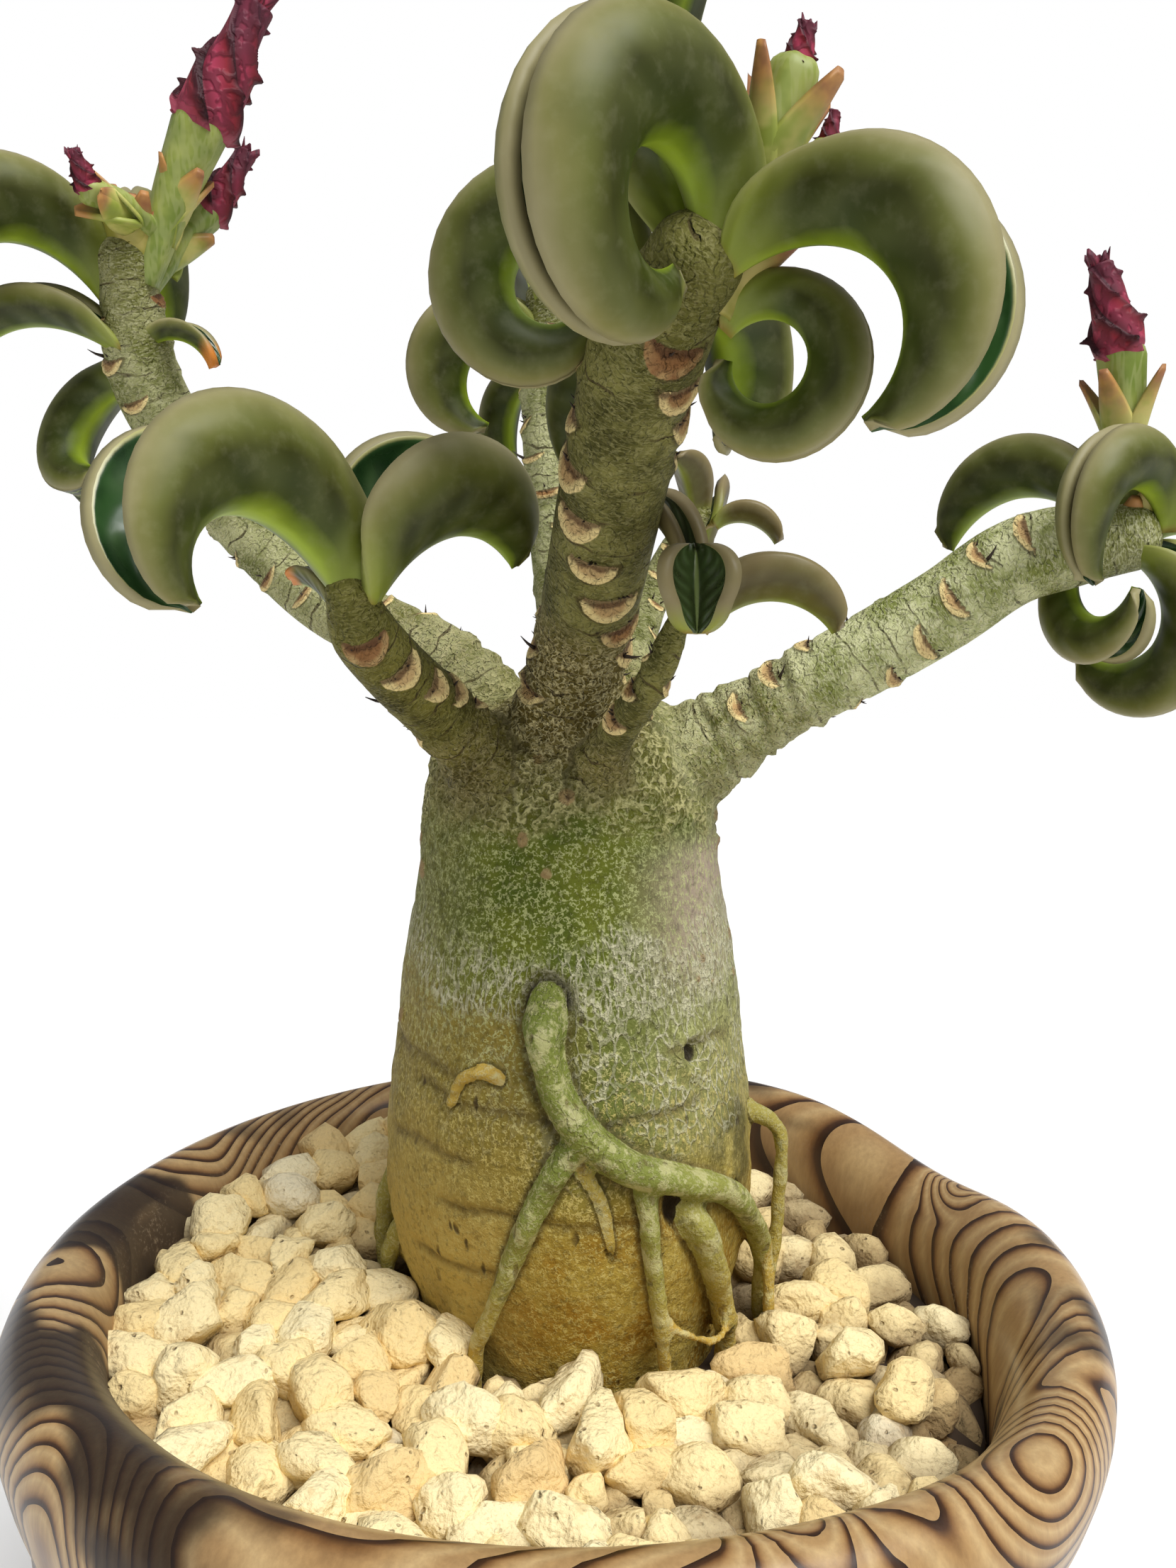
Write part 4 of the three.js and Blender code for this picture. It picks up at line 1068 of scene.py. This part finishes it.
# Buds: base, neck and tip of each, the radii of its green tube, the radius of its furled head, and
# the number and length of the pointed sepals round its foot
buds = {
    "left": [
        ((-61, 22, 240), (-52, 22, 262), (-43, 22, 279), (1.8, 4.2), 5.2, (4, 11)),
        ((-61, 24, 240), (-54, 31, 252), (-48, 34, 262), (1.5, 2.6), 3.2, (2, 8)),
        ((-59, 21, 247.5), (-65.6, 13, 251), (-67, 11, 256), (1.6, 2), 2, (3, 8)),
    ],
    "centre": [
        ((20, -41, 228), (27.2, -39.8, 249), (28.5, -40, 254), (1.8, 2.8), 2, (4, 16)),
        ((20, -41, 226), (31, -38, 242), (32, -38, 246), (1.4, 1.6), 1.3, (2, 12)),
    ],
    "right": [((80, -1.9, 202), (78, -1, 226), (74.5, -1, 238), (1.7, 3.2), 3.7, (4, 15))],
}
# Bracts at the tips: middle, direction, how many, length, half width and how far they lean out
bracts = {
    "left": ((-63.5, 22.5, 241), (0.1, 0, 1), 10, 12, 2.9, 0.34),
    "centre": ((20, -41, 229), (0.4, 0.1, 0.9), 6, 9, 2.1, 0.4),
    "right": ((80, -2.5, 202.5), (0.1, 0, 1), 6, 8, 2, 0.5),
}
sepals = {"width": 2.5, "thickness": 0.8, "foot": 0.3, "spread": 0.34}
head = {"petals": 4, "twist": 2.2, "spikes": 3.2, "sides": 120, "steps": 64, "points": 5}


def budTube(base, neck, tube):
    middle = base.lerp(neck, 0.5) + Vector((0, 0, 1))

    def ribbed(share, angle):
        return mix(*tube, share) * (1 + 0.035 * math.cos(5 * angle + 1) + 0.02 * math.sin(3 * angle))

    return rod(smoothLine([base, middle, neck], 24), ribbed, 40)


def pointed(start, axis, side, length, half, spread):  # a sepal or a bract
    across = side.cross(axis)

    def onBlade(point):
        share = (point.y + 1) / 2
        reach = half * math.sin(math.pi * min(share * 0.68 + 0.26, 1)) ** 0.85
        hollow = 0.35 * reach * point.x**2 + 0.5 * half * (1 - share) * point.x**2
        lifted = side * (spread * length * share * (0.6 + 0.4 * share) - hollow)
        return start + axis * length * share + lifted + across * reach * point.x

    shape = reshape(grid(10, 18), onBlade)
    bmesh.ops.solidify(shape, geom=shape.faces[:], thickness=sepals["thickness"] * mm)
    bmesh.ops.recalc_face_normals(shape, faces=shape.faces)
    return shape


def sideOf(axis, first, turn):  # a direction square to an axis, turned round it
    return (Matrix.Rotation(turn, 3, axis) @ first).normalized()


def budSepals(base, neck, tube, count, length):
    axis = (neck - base).normalized()
    shapes = []
    for i in range(count):
        side = sideOf(axis, Vector((1, 0, 0)).cross(axis), (i + 0.5) / count * fullTurn)
        start = base.lerp(neck, sepals["foot"]) + side * tube[0] * 0.5
        shapes.append(pointed(start, axis, side, length, sepals["width"], sepals["spread"]))
    return shapes


def tipBracts(cluster):
    middle, way, count, length, half, spread = bracts[cluster]
    rng = np.random.default_rng(len(cluster))
    axis = Vector(way).normalized()
    shapes = []
    for i in range(count):
        side = sideOf(axis, Vector((1, 0.2, 0)).cross(axis), i * math.radians(137.5))
        start = Vector(middle) + side * 2.6 + axis * rng.uniform(-4, 1.5)
        grown, wide, lean = length * rng.uniform(0.6, 1.05), rng.uniform(0.75, 1.1), rng.uniform(0.5, 1.2)
        shapes.append(pointed(start, axis, side, grown, half * wide, spread * lean))
    return shapes


def budHead(neck, tip, radius):  # petals furled round each other, with spiky edges and pointed ends
    def furled(share, angle):
        turn = angle / fullTurn * head["petals"] + head["twist"] * share
        edge = (turn % 1) ** 2
        spike = max(0, math.sin(fullTurn * (share * head["spikes"] + math.floor(turn) * 0.37))) ** 5
        swell = mix(0.86, 1, ramp(0, 0.1, share)) * mix(1, 0.5, ramp(0.1, 1, share))
        return radius * swell * (0.84 + 0.22 * edge + 0.34 * spike * edge**4)

    line = smoothLine([neck, neck.lerp(tip, 0.5), tip], head["steps"])
    shapes = [rod(line, furled, head["sides"], 0.3)]
    axis = (tip - neck).normalized()
    for i in range(head["points"]):
        side = sideOf(axis, axis.orthogonal(), i * 1.26 + 0.4)
        start = tip + side * radius * 0.26 - axis * 1.2
        shapes.append(pointed(start, axis, side, radius * (0.75 + 0.12 * (i % 3)), radius * 0.2, 0.25))
    return gathered(shapes)


def budPaint():
    paint = Paint("budGreen", Specular_IOR_Level=0.4)
    place, kind = paint.place(), paint.marks("kind")
    along = paint.split(paint.node("UVMap"), 1)
    soft = paint.cloud(place, 160)
    tipColour = paint.over((190, 128, 72), (paint.cloud(place, 240).between(0.4, 0.6), (150, 84, 62)))
    pale = paint.over(
        (146, 158, 62), (soft.between(0.4, 0.6), (196, 190, 110)),
        ((along + (soft - 0.5) * 0.5).between(0.62, 0.95) * 0.85, tipColour),
        (kind.between(1.4, 1.6) * 0.25, (164, 96, 60)),
    )
    streaks = paint.winding(paint.place((1, 1, 0.2)), 900, 0.12)
    colour = paint.over(
        (112, 130, 48), (soft.between(0.35, 0.65), (156, 166, 80)), (streaks * 0.25, (184, 186, 130)),
        (kind.least(1), pale),
    )
    return paint.use(Base_Color=colour, Roughness=soft * 0.15 + 0.42)


def petalPaint():
    paint = Paint("furledPetal", Specular_IOR_Level=0.35)
    uv, place = paint.node("UVMap"), paint.place()
    around, along = paint.split(uv, 0), paint.split(uv, 1)
    soft = paint.cloud(place, 260)
    edge = (around * head["petals"] + along * head["twist"]).part() + (soft - 0.5) * 0.25
    folds = paint.winding(paint.shifted(place, 300, 0.002), 420, 0.14)
    petal = paint.shades(
        edge, (0, (116, 30, 50)), (0.35, (170, 56, 84)), (0.7, (140, 32, 46)), (0.88, (74, 14, 26)),
        (1, (40, 10, 18)),
    )
    colour = paint.over(
        # the folds are darkened with painted shade
        petal, (folds * 0.5, (58, 14, 26)),
        ((along + (soft - 0.5) * 0.4).between(0.45, 0.85) * 0.7, (86, 38, 54)),
        ((along + (soft - 0.5) * 0.3).between(0.12, 0.02) * 0.7, (176, 78, 98)),
    )
    return paint.use(Base_Color=colour, Normal=paint.relief(folds, 0.5, 0.0006), Roughness=0.62)


def makeBuds():
    green, crimson = budPaint(), petalPaint()
    for cluster, listed in buds.items():
        shapes, kinds = [], []
        for number, (base, neck, tip, tube, radius, (count, length)) in enumerate(listed, 1):
            base, neck, tip = Vector(base), Vector(neck), Vector(tip)
            replaced = [f"{cluster}_petals_{number}"]
            made(f"{cluster}Petals{number}", budHead(neck, tip, radius), [crimson], replaced)
            shapes += [budTube(base, neck, tube), *budSepals(base, neck, tube, count, length)]
            kinds += [0] + [1] * count
        grown = tipBracts(cluster)
        kinds += [2] * len(grown)
        shapes += grown
        sizes = [len(bm.verts) for bm in shapes]
        piece = made(f"{cluster}Buds", gathered(shapes), [green], [f"{cluster}_buds"])
        keep(piece.data, "kind", np.repeat(kinds, sizes))


# Stage, light and camera
stage = {
    "floor": 1.6, "lens": 31.5, "camera": (5.6, -194, 198), "down": 9, "room": 0.34,
    "sun": (0.42, -0.45, 1), "sunSpread": 40, "sunPower": 3.5,
}


def makeStage():
    bm = bmesh.new()
    bmesh.ops.create_grid(bm, x_segments=1, y_segments=1, size=stage["floor"])
    paint = Paint("paleFloor", Roughness=0.9, Base_Color=(243, 243, 243))
    floor = made("floor", bm, [paint.material])
    world = bpy.data.worlds.new("studio")
    bpy.context.scene.world = world
    world.use_nodes = True
    nodes, links = world.node_tree.nodes, world.node_tree.links
    room = nodes["Background"]
    seen = nodes.new("ShaderNodeBackground")  # what the camera sees behind the plant
    for background, strength in ((room, stage["room"]), (seen, 1)):
        background.inputs["Color"].default_value = (1, 1, 1, 1)
        background.inputs["Strength"].default_value = strength
    either = nodes.new("ShaderNodeMixShader")
    rays = nodes.new("ShaderNodeLightPath")
    sources = (rays.outputs["Is Camera Ray"], room.outputs[0], seen.outputs[0])
    for socket, source in zip(either.inputs, sources):
        links.new(source, socket)
    links.new(either.outputs[0], nodes["World Output"].inputs["Surface"])
    bpy.context.scene.view_settings.view_transform = "Standard"
    light = bpy.data.lights.new("highLight", "SUN")
    light.angle = math.radians(stage["sunSpread"])
    light.energy = stage["sunPower"]
    placed("highLight", light).rotation_euler = Vector(stage["sun"]).to_track_quat("Z", "Y").to_euler()


def makeCamera():
    view = bpy.data.cameras.new("camera")
    view.lens = stage["lens"]
    view.sensor_width = 36
    view.clip_start = 0.01
    camera = placed("camera", view)
    camera.location = Vector(stage["camera"]) * mm
    camera.rotation_euler = (math.radians(90 - stage["down"]), 0, 0)
    bpy.context.scene.camera = camera


print("pot")
makePot()
print("stem")
makeStem()
makeSpikes()
print("stones")
makeSoil()
makeStones()
print("leaves")
makeLeaves()
print("buds")
makeBuds()
print("stage")
makeStage()
makeCamera()
